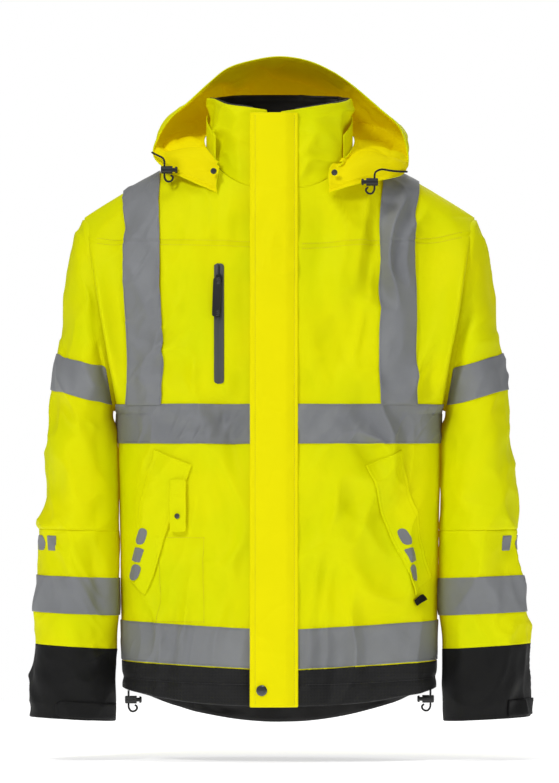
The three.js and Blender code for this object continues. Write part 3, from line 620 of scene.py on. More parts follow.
@dataclass(frozen=True)
class Finish:
    """One finish of the jacket and the shader made from it."""

    name: str
    slot: str
    colour: tuple
    tint: tuple
    grain: Grain
    roughness: float = 0.6
    metallic: float = 0.0
    sheen: float = 0.0
    coat: float = 0.0
    # glow: emission that paints fluorescent brightness into the cloth; its orange colour paints a warm tint
    # into the shade
    glow: float = 0.0
    glow_colour: tuple = (1.0, 0.42, 0.0, 1.0)
    pitch: float = 0.9 * MM
    depth: float = 0.12 * MM
    blotch: float = 0.06
    crumple: float = 0.0
    specular: float = 0.5

    def material(self) -> bpy.types.Material:
        """Builds the node material, or returns it when it is already there.

        Returns:
            The finish's material.
        """
        made = bpy.data.materials.get(self.name)
        if made:
            return made
        made = bpy.data.materials.new(self.name)
        made.use_nodes = True
        made.diffuse_color = self.colour
        self._wire(made.node_tree)
        return made

    def _wire(self, tree: bpy.types.NodeTree) -> None:
        """Wires colour, roughness and bump.

        Args:
            tree: The material's node tree.
        """
        nodes, links = tree.nodes, tree.links
        shader = nodes["Principled BSDF"]
        shader.inputs["Metallic"].default_value = self.metallic
        shader.inputs["Sheen Weight"].default_value = self.sheen
        shader.inputs["Sheen Roughness"].default_value = 0.5
        shader.inputs["Specular IOR Level"].default_value = self.specular
        shader.inputs["Coat Weight"].default_value = self.coat
        shader.inputs["Coat Roughness"].default_value = 0.25
        # Painted glow: the cloth emits orange-yellow light of its own, which paints brightness and orange
        # shade into it
        if self.glow:
            shader.inputs["Emission Color"].default_value = self.glow_colour
            shader.inputs["Emission Strength"].default_value = self.glow
        place = nodes.new("ShaderNodeTexCoord")
        on_cloth = self.grain in (Grain.WEAVE, Grain.QUILT, Grain.BEADS)
        threads = place.outputs["UV" if on_cloth else "Object"]

        cloud = nodes.new("ShaderNodeTexNoise")
        cloud.inputs["Scale"].default_value = 9.0
        cloud.inputs["Detail"].default_value = 5.0
        links.new(place.outputs["Object"], cloud.inputs["Vector"])
        ramp = nodes.new("ShaderNodeMapRange")
        ramp.inputs["From Min"].default_value = 0.35
        ramp.inputs["From Max"].default_value = 0.7
        links.new(cloud.outputs["Fac"], ramp.inputs["Value"])
        tone = nodes.new("ShaderNodeMix")
        tone.data_type = "RGBA"
        tone.inputs["A"].default_value = self.colour
        tone.inputs["B"].default_value = self.tint
        links.new(ramp.outputs["Result"], tone.inputs["Factor"])

        grain = self._grain(tree, threads)
        shade = nodes.new("ShaderNodeMapRange")
        shade.inputs["To Min"].default_value = 1 - self.blotch
        shade.inputs["To Max"].default_value = 1.0
        links.new(grain, shade.inputs["Value"])
        colour = nodes.new("ShaderNodeVectorMath")
        colour.operation = "SCALE"
        links.new(tone.outputs["Result"], colour.inputs[0])
        links.new(shade.outputs["Result"], colour.inputs["Scale"])
        links.new(colour.outputs["Vector"], shader.inputs["Base Color"])

        rough = nodes.new("ShaderNodeMapRange")
        rough.inputs["To Min"].default_value = min(self.roughness + 0.1, 1)
        rough.inputs["To Max"].default_value = max(self.roughness - 0.08, 0.05)
        links.new(cloud.outputs["Fac"], rough.inputs["Value"])
        links.new(rough.outputs["Result"], shader.inputs["Roughness"])

        bump = nodes.new("ShaderNodeBump")
        bump.inputs["Distance"].default_value = self.depth
        bump.inputs["Strength"].default_value = 0.6
        links.new(grain, bump.inputs["Height"])
        links.new(bump.outputs["Normal"], shader.inputs["Normal"])
        if self.crumple:
            rumple = nodes.new("ShaderNodeTexNoise")
            rumple.inputs["Scale"].default_value = 55.0
            rumple.inputs["Detail"].default_value = 4.0
            rumple.inputs["Distortion"].default_value = 0.6
            links.new(place.outputs["Object"], rumple.inputs["Vector"])
            soft = nodes.new("ShaderNodeBump")
            soft.inputs["Distance"].default_value = self.crumple
            soft.inputs["Strength"].default_value = 0.7
            links.new(rumple.outputs["Fac"], soft.inputs["Height"])
            links.new(soft.outputs["Normal"], bump.inputs["Normal"])

    def _grain(self, tree: bpy.types.NodeTree, threads: bpy.types.NodeSocket) -> bpy.types.NodeSocket:
        """Makes the close-up height pattern.

        Args:
            tree: The material's node tree.
            threads: Coordinates in metres along the cloth.

        Returns:
            The socket that holds the height from 0 to 1.
        """
        nodes, links = tree.nodes, tree.links
        if self.grain in (Grain.MOULDED, Grain.BRUSHED, Grain.BEADS):
            grit = nodes.new("ShaderNodeTexVoronoi" if self.grain is Grain.BEADS else "ShaderNodeTexNoise")
            grit.inputs["Scale"].default_value = 1 / self.pitch
            source = threads
            if self.grain is Grain.BRUSHED:
                stretch = nodes.new("ShaderNodeMapping")
                stretch.inputs["Scale"].default_value = (1, 1, 0.08)
                links.new(threads, stretch.inputs["Vector"])
                source = stretch.outputs["Vector"]
            links.new(source, grit.inputs["Vector"])
            return grit.outputs["Distance" if self.grain is Grain.BEADS else "Fac"]
        waves = []
        for direction in ("X", "Y"):
            wave = nodes.new("ShaderNodeTexWave")
            wave.bands_direction = direction
            wave.inputs["Scale"].default_value = 0.31 / self.pitch
            wave.inputs["Distortion"].default_value = 0.4
            wave.inputs["Detail Scale"].default_value = 2.0
            links.new(threads, wave.inputs["Vector"])
            waves.append(wave.outputs["Fac"])
        blend = nodes.new("ShaderNodeMath")
        blend.operation = "MULTIPLY" if self.grain is Grain.WEAVE else "MAXIMUM"
        links.new(waves[0], blend.inputs[0])
        links.new(waves[1], blend.inputs[1])
        return blend.outputs["Value"]


# The yellow finishes carry a painted glow that paints fluorescent brightness and orange shade into the cloth.
YELLOW = Finish("high visibility cloth", "yellow_shell", srgb(226, 231, 0), srgb(214, 228, 0), Grain.WEAVE,
                roughness=0.6, glow=0.07, crumple=0.6 * MM, specular=0.06)
FLAP = Finish("flap cloth", "yellow_shell", srgb(240, 234, 0), srgb(236, 232, 0), Grain.WEAVE,
              roughness=0.6, glow=0.07, crumple=0.4 * MM, specular=0.06)
# Painted shade: the hood's inside is the same yellow cloth, coloured warmer and given a stronger orange
# painted glow, which paints the bounced light and orange shade inside the hood.
HOOD_INSIDE_PAINTED_SHADE = Finish("hood inside", "yellow_shell", srgb(236, 224, 0), srgb(228, 218, 0), Grain.WEAVE,
                     roughness=0.7, glow=0.10, glow_colour=(1.0, 0.62, 0.0, 1.0), crumple=0.4 * MM,
                     specular=0.06)
BLACK = Finish("black outer cloth", "black_shell", srgb(15, 15, 16), srgb(10, 10, 11), Grain.WEAVE,
               roughness=0.62, sheen=0.02, specular=0.22, pitch=1.1 * MM, depth=0.2 * MM, blotch=0.25,
               crumple=0.6 * MM)
QUILT = Finish("quilted black hem", "black_shell", srgb(22, 22, 23), srgb(15, 15, 16), Grain.QUILT,
               roughness=0.66, sheen=0.04, specular=0.3, pitch=4.0 * MM, depth=0.4 * MM, blotch=0.3,
               crumple=0.6 * MM)
LINING = Finish("black lining", "black_lining", srgb(30, 28, 27), srgb(22, 21, 21), Grain.WEAVE,
                roughness=0.55, sheen=0.05, pitch=0.8 * MM, blotch=0.2, crumple=0.5 * MM)
SILVER = Finish("reflective tape", "reflective_band", srgb(134, 136, 139), srgb(120, 122, 126), Grain.BEADS,
                roughness=0.6, metallic=0.1, sheen=0.1, specular=0.35, pitch=0.5 * MM, depth=0.05 * MM,
                crumple=0.5 * MM)
RUBBER = Finish("welded zip tape", "zip_rubber", srgb(74, 76, 76), srgb(62, 64, 64), Grain.MOULDED,
                roughness=0.5, pitch=0.6 * MM, depth=0.05 * MM)
TEETH = Finish("zip teeth", "zip_teeth", srgb(34, 35, 36), srgb(26, 27, 28), Grain.MOULDED, roughness=0.35,
               pitch=0.8 * MM, depth=0.04 * MM)
SLIDER = Finish("slider metal", "slider_metal", srgb(58, 60, 62), srgb(46, 47, 50), Grain.BRUSHED,
                roughness=0.35, metallic=0.8, pitch=0.7 * MM, depth=0.03 * MM)
SNAP = Finish("gunmetal snap", "snap_metal", srgb(104, 106, 108), srgb(84, 86, 88), Grain.BRUSHED,
              roughness=0.3, metallic=0.9, pitch=0.9 * MM, depth=0.02 * MM)
MOULDED = Finish("moulded lock", "moulded_lock", srgb(26, 27, 28), srgb(18, 19, 20), Grain.MOULDED,
                 roughness=0.42, pitch=0.5 * MM, depth=0.06 * MM)
CORD = Finish("elastic cord", "cord", srgb(28, 28, 30), srgb(20, 20, 22), Grain.MOULDED,
              roughness=0.75, pitch=0.9 * MM, depth=0.15 * MM, blotch=0.3)
THREAD = Finish("yellow thread", "yellow_shell", srgb(226, 218, 0), srgb(206, 202, 0), Grain.MOULDED,
                roughness=0.6, pitch=0.4 * MM, depth=0.05 * MM)
GREY_THREAD = Finish("grey thread", "reflective_band", srgb(128, 130, 134), srgb(112, 114, 118),
                     Grain.MOULDED, roughness=0.6)
DARK_THREAD = Finish("black thread", "black_shell", srgb(48, 48, 50), srgb(40, 40, 42), Grain.MOULDED,
                     roughness=0.6, pitch=0.4 * MM, depth=0.05 * MM)


# ---- Pieces of cloth that follow the cut --------------------------------------------------------------


def outward(grid: np.ndarray, centre: Sequence[float]) -> np.ndarray:
    """Turns a grid over when its normals point towards centre.

    Args:
        grid: Rows by columns by 3.
        centre: A point behind the cloth.

    Returns:
        The grid with its normals pointing away from centre.
    """
    facing = np.sum(grid_normals(grid, False) * (grid - np.asarray(centre)))
    return grid if facing > 0 else grid[::-1].copy()


def unwrap(obj: bpy.types.Object) -> None:
    """Gives a piece a UV map in metres, by projecting each face along its dominant direction.

    Args:
        obj: The piece.
    """
    mesh = obj.data
    count = len(mesh.loops)
    normals = np.zeros(len(mesh.polygons) * 3, np.float32)
    mesh.polygons.foreach_get("normal", normals)
    normals = np.abs(normals.reshape(-1, 3))
    totals = np.zeros(len(mesh.polygons), np.int32)
    mesh.polygons.foreach_get("loop_total", totals)
    index = np.zeros(count, np.int32)
    mesh.loops.foreach_get("vertex_index", index)
    co = np.zeros(len(mesh.vertices) * 3, np.float32)
    mesh.vertices.foreach_get("co", co)
    corner = co.reshape(-1, 3)[index]
    sideways = np.repeat(normals[:, 0] > normals[:, 1] * 1.2, totals)
    flat = np.where(sideways, corner[:, 1], corner[:, 0])
    layer = mesh.uv_layers.new(name="cloth")
    layer.data.foreach_set("uv", np.stack([flat, corner[:, 2]], -1).astype(np.float32).ravel())


FRONT_CREASES = (
    Crease((-205, 455), (-118, 425), 3.2, 0.011), Crease((-196, 500), (-140, 440), 2.6, 0.010),
    Crease((-232, 560), (-196, 470), 3.4, 0.012), Crease((-150, 600), (-126, 500), 2.0, 0.010),
    Crease((-190, 590), (-160, 520), 2.4, 0.009), Crease((-122, 640), (-100, 560), 1.6, 0.009),
    Crease((-60, 560), (-44, 430), 1.8, 0.009), Crease((-100, 410), (-66, 330), 2.2, 0.011),
    Crease((-196, 372), (-150, 300), 2.6, 0.011), Crease((-92, 320), (-60, 200), 2.2, 0.013),
    Crease((-190, 160), (-120, 110), 2.0, 0.011), Crease((-120, 230), (-70, 120), 2.0, 0.014),
    Crease((205, 470), (128, 420), 3.0, 0.012), Crease((218, 540), (186, 450), 3.0, 0.011),
    Crease((60, 610), (96, 470), 2.0, 0.013), Crease((110, 640), (122, 520), 1.8, 0.011),
    Crease((34, 520), (60, 430), 2.0, 0.010), Crease((60, 400), (104, 330), 2.4, 0.013),
    Crease((196, 380), (160, 300), 2.4, 0.011), Crease((46, 330), (100, 200), 2.6, 0.015),
    Crease((36, 210), (86, 110), 2.2, 0.013), Crease((188, 150), (110, 120), 2.0, 0.012),
    Crease((-60, 660), (-110, 600), 1.6, 0.010), Crease((60, 668), (110, 622), 1.6, 0.010),
)
YOKE_SEAM = ((-236, 619), (-50, 615), (24, 612), (236, 627))
PATCH = ((-156, 134), (-98, 241))


@dataclass(frozen=True)
class BodyCloth:
    """The body's cloth: the cut with its folds, and every place on it that another piece lies on."""

    front_folds: Folds = Folds(swell=7.0 * MM, crease=13.0 * MM, crumple=1.3 * MM,
                               crease_size=(0.055, 0.08, 0.12), turn=0.12, seed=3)
    back_folds: Folds = Folds(swell=7.5 * MM, crease=12.0 * MM, crumple=1.2 * MM,
                              crease_size=(0.065, 0.08, 0.13), turn=-0.1, seed=21)
    seam_depth: float = 1.1 * MM
    seam_width: float = 1.6 * MM
    patch_lift: float = 0.6 * MM
    gather: float = 0.5 * MM
    edge_lift: float = 0.8 * MM
    seam_calm: tuple = (0.80, 0.97)
    top_calm: dict = field(default_factory=lambda: {Face.FRONT: 0.05, Face.BACK: 0.24})
    main_zip_calm: tuple = (0.026, 0.062)
    chest_zip_calm: tuple = (0.012, 0.040)
    chest_zip_x: float = -79 * MM

    def yoke(self, x: np.ndarray) -> np.ndarray:
        """Height of the yoke seam."""
        line = np.array(YOKE_SEAM) * MM
        return np.interp(x, line[:, 0], line[:, 1])

    def folds(self, face: Face, base: np.ndarray) -> np.ndarray:
        """Height of the folds at points of the cut.

        Args:
            face: Front or back.
            base: Points of the cut.

        Returns:
            One height for each point.
        """
        x, z = base[..., 0], base[..., 2]
        share = np.clip(np.abs(x) / BODY.outer_x(z), 0, 1)
        top_z = BODY.top(share, face)[1]
        edge = smooth(share, *self.seam_calm)
        calm = smooth(top_z - z, 0, self.top_calm[face]) * (1 - 0.92 * edge)
        if face is Face.FRONT:
            calm = calm * self._zip_calm(x, z)
        lift = (self.back_folds if face is Face.BACK else self.front_folds).lift(base) * calm
        lift = lift + self.edge_lift * edge
        if face is Face.FRONT:
            for crease in FRONT_CREASES:
                lift = lift + 2.0 * crease.lift(x, z) * MM * calm
            lift = lift + self._gathers(base) + self._sewn(x, z)
        return lift

    def _zip_calm(self, x: np.ndarray, z: np.ndarray) -> np.ndarray:
        """How much of the folds stays near the main zip and the stiff chest zip.

        Args:
            x: Places along X.
            z: Heights.

        Returns:
            Shares from 0 to 1.
        """
        main = 0.08 + 0.92 * smooth(np.abs(x - ZIP_X), *self.main_zip_calm)
        tape = 1 - smooth(np.abs(x - self.chest_zip_x), *self.chest_zip_calm)
        stiff = tape * smooth(z, 0.40, 0.44) * (1 - smooth(z, 0.595, 0.63))
        return main * (1 - 0.93 * stiff)

    def _gathers(self, base: np.ndarray) -> np.ndarray:
        """Fine upright puckers just below the yoke seam.

        Args:
            base: Points of the cut.

        Returns:
            One height for each point.
        """
        x, z = base[..., 0], base[..., 2]
        pucker = np.sin(x / 0.0062 + 2.2 * lattice(base / 0.03, 17)) * bump(z, 0.585, 0.045)
        return self.gather * pucker * smooth(np.abs(x), 0.04, 0.07) * (1 - smooth(np.abs(x), 0.15, 0.2))

    def _sewn(self, x: np.ndarray, z: np.ndarray) -> np.ndarray:
        """The yoke's sewn groove and the patch that lies on the left front.

        Args:
            x: Places along X.
            z: Heights.

        Returns:
            One height for each place.
        """
        away = (z - self.yoke(x)) / self.seam_width
        groove = -self.seam_depth * np.exp(-(away**2)) + 0.5 * MM * bump(away, 2.5, 2.0)
        (left, low), (right, high) = np.array(PATCH) * MM
        patch = (smooth(x, left - MM, left) * smooth(-x, -right - MM, -right)
                 * smooth(z, low - MM, low) * smooth(-z, -high - MM, -high))
        return groove + self.patch_lift * patch

    def at(self, face: Face, x: np.ndarray, z: np.ndarray, lift: float = 0.0) -> np.ndarray:
        """Points on the folded cloth by their place as seen from the front.

        Args:
            face: Front or back.
            x: Places along X.
            z: Heights.
            lift: Height above the cloth.

        Returns:
            Points with a last axis of 3.
        """
        x, z = np.broadcast_arrays(np.asarray(x, float), np.asarray(z, float))
        side = np.where(x < 0, -1.0, 1.0)
        u = np.clip(np.abs(x) / BODY.outer_x(z), 0, 1)
        return self._raise(face, side, u, z, lift)

    def _raise(self, face: Face, side: np.ndarray, u: np.ndarray, z: np.ndarray, lift: float) -> np.ndarray:
        """Folded cloth at shares of the half width.

        Args:
            face: Front or back.
            side: Sign along X.
            u: Shares of the half width.
            z: Heights.
            lift: Height above the cloth.

        Returns:
            Points with a last axis of 3.
        """
        base = BODY.point(side, face, u, z)
        top_z = BODY.top(u, face)[1]
        normal = BODY.normal(side, face, np.clip(u, 0.004, 0.994), np.minimum(z, top_z - 4 * MM))
        return base + normal * (lift + self.folds(face, base))[..., None]

    def panel(self, face: Face, side: Side, start: float, rows: int, cols: int, low: Callable,
              high: Callable, lift: float = 0.0, crowd: float = 1.6) -> np.ndarray:
        """A grid of points over a half panel.

        Args:
            face: Front or back.
            side: Left or right.
            start: Distance of the first row from the centre line.
            rows: Rows from there to the side seam.
            cols: Columns from the lower to the upper edge.
            low: Height of the lower edge for shares of the half width.
            high: Height of the upper edge for shares of the half width.
            lift: Height above the cloth.
            crowd: How much the columns gather at the upper edge.

        Returns:
            Rows by columns by 3.
        """
        s, t = np.meshgrid(np.linspace(0, 1, rows), 1 - (1 - np.linspace(0, 1, cols)) ** crowd, indexing="ij")
        z = np.full_like(s, 0.3)
        for _ in range(4):
            u = BODY.spread(np.array(start), s, z)
            z = mix(low(u), high(u), t)
        return self._raise(face, np.full_like(u, side.value), u, z, lift)


CLOTH = BodyCloth()


@dataclass
class Torso:
    """Fronts, back, black hem, drop tail and the reflective bands of the body."""

    shell: float = 3.0 * MM
    tape: float = 0.9 * MM
    tape_lift: float = 0.5 * MM
    band: float = 50 * MM
    hem_band_z: float = 73 * MM
    chest_band_z: float = 361 * MM
    brace_left_x: float = 152 * MM
    brace_right_x: float = 131 * MM
    brace_share: float = 0.94
    brace_pull: float = 5 * MM
    flap_edge: float = 23.4 * MM
    channel_z: float = 54 * MM
    wear: dict = field(default_factory=lambda: {"chest_band_left": 1.25, "chest_band_right": 0.8,
                                                "brace_front_left": 0.9})
    light_wear: float = 0.35

    def start(self, side: Side) -> float:
        """Distance of a front's free edge from the centre line."""
        return ZIP_OPENING + side.value * ZIP_X

    def build(self) -> None:
        """Builds every piece of the body."""
        self._shells()
        self._trims()
        self._bands()

    def _half_and_half(self, **spans) -> np.ndarray:
        """Joins the two halves of the back into one grid from seam to seam."""
        left = CLOTH.panel(Face.BACK, Side.LEFT, 0.0, **spans)
        right = CLOTH.panel(Face.BACK, Side.RIGHT, 0.0, **spans)
        return np.concatenate([left[::-1], right[1:]])

    def _shells(self) -> None:
        """Yellow fronts and back, with their dark lining on the inside."""
        for side in Side:
            grid = CLOTH.panel(Face.FRONT, side, self.start(side), rows=100, cols=190,
                               low=BODY.trim, high=lambda u: BODY.top(u, Face.FRONT)[1] - 0.2 * MM)
            obj = cloth(f"front_{side.word}", outward(grid, (0, 0.02, 0.3)), self.shell)
            line_inside(obj, YELLOW, LINING)
            settle(obj, "torso", "yellow_shell", f"front_{side.word}_shell")
        grid = self._half_and_half(rows=96, cols=180, low=BODY.trim,
                                   high=lambda u: BODY.top(u, Face.BACK)[1] - 0.2 * MM)
        obj = cloth("back_cloth", outward(grid, (0, 0.0, 0.3)), self.shell)
        line_inside(obj, YELLOW, LINING)
        settle(obj, "torso", "yellow_shell", "back_shell")

    def channel_height(self, x: np.ndarray) -> np.ndarray:
        """Height of the sewn line between the hem's two padded channels."""
        return self.channel_z + 7 * MM * (np.abs(x) / BODY.hem_half) ** 2

    def _quilted(self, grid: np.ndarray, centre: Sequence[float]) -> np.ndarray:
        """Swells the hem into two padded channels either side of its sewn line.

        Args:
            grid: The flat hem.
            centre: A point behind it.

        Returns:
            Rows by columns by 3.
        """
        grid = outward(grid, centre)
        normal = grid_normals(grid, False)
        away = (grid[..., 2] - self.channel_height(grid[..., 0])) / (5 * MM)
        puff = 1.8 * MM * (1 - np.exp(-(away**2)))
        return grid + normal * puff[..., None]

    def _trims(self) -> None:
        """Black quilted hem of both fronts, and the longer tail behind."""
        for side in Side:
            grid = CLOTH.panel(Face.FRONT, side, self.start(side), rows=90, cols=26,
                               low=lambda u: BODY.hem(u, Face.FRONT), high=lambda u: BODY.trim(u) - 0.2 * MM,
                               lift=-1.2 * MM, crowd=1.0)
            obj = cloth(f"hem_{side.word}", self._quilted(grid, (0, 0.02, 0.05)), 4.2 * MM)
            line_inside(obj, QUILT, LINING)
            settle(obj, "torso", "black_shell", f"hem_trim_{side.word}")
        grid = self._half_and_half(rows=80, cols=28, low=lambda u: BODY.hem(u, Face.BACK),
                                   high=lambda u: BODY.trim(u) - 0.2 * MM, lift=-1.2 * MM, crowd=1.0)
        obj = cloth("tail", self._quilted(grid, (0, 0.0, 0.05)), 4.2 * MM)
        line_inside(obj, QUILT, LINING)
        settle(obj, "torso", "black_shell", "drop_tail")

    def _bands(self) -> None:
        """Reflective bands round the chest and the hem, and the braces over the shoulders."""
        levels = {
            "chest_band": lambda u: self.chest_band_z + 0 * u,
            "hem_band": lambda u: self.hem_band_z + BODY.trim_rise * u,
        }
        for name, low in levels.items():
            spans = {"cols": 24, "low": low, "high": lambda u, low=low: low(u) + self.band,
                     "lift": self.tape_lift + self.tape, "crowd": 1.0}
            for side in Side:
                start = self.start(side) + 2 * MM if side is Side.LEFT else self.flap_edge
                grid = CLOTH.panel(Face.FRONT, side, start, rows=150, **spans)
                self._tape(f"{name}_{side.word}", grid, f"{name}_{side.word}")
            self._tape(f"{name}_back", self._half_and_half(rows=96, **spans), f"{name}_back")
        for side in Side:
            for face in Face:
                word = face.name.lower()
                self._tape(f"brace_{word}_{side.word}", self._brace(side, face),
                           *([f"brace_band_{side.word}"] if face is Face.FRONT else []))

    def brace_x(self, side: Side, across: np.ndarray, z: np.ndarray) -> np.ndarray:
        """Distance of a brace's points from the centre line.

        Args:
            side: Left or right.
            across: Distances from the brace's inner edge.
            z: Heights.

        Returns:
            The distances, a little less where the brace is pulled in at the chest.
        """
        inner = self.brace_left_x if side is Side.LEFT else self.brace_right_x
        return inner + across - self.brace_pull * bump(z, 0.46, 0.08)

    def _brace(self, side: Side, face: Face) -> np.ndarray:
        """One upright band from the chest band to the shoulder seam.

        Args:
            side: Left or right.
            face: Front or back.

        Returns:
            Rows by columns by 3.
        """
        s, t = np.meshgrid(np.linspace(0, 1, 26), 1 - (1 - np.linspace(0, 1, 150)) ** 1.6, indexing="ij")
        z = np.full_like(s, 0.5)
        low = self.chest_band_z + self.band - 1.0 * MM
        for _ in range(4):
            u = self.brace_x(side, s * self.brace_share * self.band, z) / BODY.outer_x(z)
            z = mix(low, BODY.top(u, face)[1] - 0.2 * MM, t)
        return CLOTH._raise(face, np.full_like(u, side.value), u, z, 2 * self.tape_lift + 2 * self.tape)

    def _tape(self, name: str, grid: np.ndarray, *nodes: str) -> None:
        """Makes one length of reflective tape, crinkled by wear.

        Args:
            name: Piece name.
            grid: The outer face.
            nodes: CAD nodes that it replaces.
        """
        grid = outward(grid, (0, 0.0, 0.3))
        crinkle = Folds(swell=0.0, crease=2.6 * MM, crease_size=(0.016, 0.05, 0.05), crumple=0.25 * MM,
                        turn=0.55, seed=7)
        lift = np.clip(0.6 * MM + crinkle.lift(grid), 0, None) * self.wear.get(name, self.light_wear)
        edge = np.minimum(np.arange(grid.shape[1]), np.arange(grid.shape[1])[::-1])
        across = np.clip(edge / 3, 0.25, 1)[None, :]
        grid = grid + grid_normals(grid, False) * (lift * across)[..., None]
        obj = cloth(name, grid, self.tape)
        dress(obj, "torso", SILVER.material(), "reflective_band", *nodes)


def line_inside(obj: bpy.types.Object, outer: Finish, inner: Finish) -> None:
    """Gives the face that looks into the jacket the lining's finish.

    Args:
        obj: A sheet made by cloth(), whose faces start with the outer ones and then the inner ones.
        outer: Finish of the outer face and the edges.
        inner: Finish of the inner face.
    """
    layer = np.zeros(len(obj.data.polygons), np.int32)
    obj.data.polygons.foreach_get("material_index", layer)
    obj.data.materials.append(outer.material())
    obj.data.materials.append(inner.material())
    obj.data.polygons.foreach_set("material_index", layer)


def settle(obj: bpy.types.Object, body: str, slot: str, *nodes: str) -> None:
    """Puts a piece with its finish in place on a body, in place of CAD nodes.

    Args:
        obj: The piece, with its finishes on.
        body: CAD body that it moves with, or nothing to leave it unattached.
        slot: Not used.
        nodes: CAD nodes that it replaces.
    """
    if body:
        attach(obj, body)
    if nodes:
        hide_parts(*nodes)
    log.info("%s: %d faces", obj.name, len(obj.data.polygons))


@dataclass(frozen=True)
class SleeveCloth:
    """A sleeve's cloth: the cut with its folds."""

    seed: int = 40
    rest_on_body: float = 5.5 * MM

    def folds(self, side: Side, place: np.ndarray, angle: np.ndarray, base: np.ndarray) -> np.ndarray:
        """Height of the folds at points of the sleeve.

        Args:
            side: Left or right.
            place: Place along the sections.
            angle: Angle round the sleeve.
            base: Points of the cut.

        Returns:
            One height for each point.
        """
        folds = Folds(swell=3.4 * MM, swell_size=(0.09, 0.1, 0.15), crease=9.5 * MM,
                      crease_size=(0.055, 0.07, 0.085), crumple=1.2 * MM, turn=0.5 * side.value,
                      seed=self.seed + side.value)
        z = base[..., 2]
        calm = smooth(place, 0.0, 1.2) * (1 - 0.6 * smooth(place, SLEEVE.end - 0.25, SLEEVE.end))
        lift = folds.lift(base) * calm
        wave = np.sin((z - 0.245 + 0.012 * np.cos(angle * 1.5)) / 0.0075 + 1.3 * np.sin(2 * angle))
        elbow = bump(z, 0.262, 0.028) * np.clip(0.35 - 0.65 * np.sin(angle), 0.1, 1)
        lift = lift + 1.0 * MM * elbow * wave
        lift = lift - 1.1 * MM * np.exp(-(((z - 0.250) / (1.7 * MM)) ** 2))
        under = smooth(z, 0.30, 0.42) * np.clip(-np.cos(angle), 0, 1)
        lift = lift + 0.7 * MM * under * np.sin(z / 0.009 + 3 * np.sin(angle))
        near_body = smooth(-np.cos(angle), 0.5, 0.95)
        resting = smooth(z, 0.10, 0.16) * (1 - smooth(z, 0.37, 0.40))
        return lift * (1 - 0.8 * near_body) + self.rest_on_body * near_body * resting

    def at(self, side: Side, place: np.ndarray, angle: np.ndarray, lift: float = 0.0) -> np.ndarray:
        """Points on the folded sleeve.

        Args:
            side: Left or right.
            place: Place along the sections.
            angle: Angle round the sleeve.
            lift: Height above the cloth.

        Returns:
            Points with a last axis of 3.
        """
        base = SLEEVE.point(side, place, angle)
        height = self.folds(side, place, angle, base) + lift
        unit = SLEEVE.point(side, place, angle, 1.0) - base
        return base + unit * height[..., None]


SLEEVE_CLOTH = SleeveCloth()


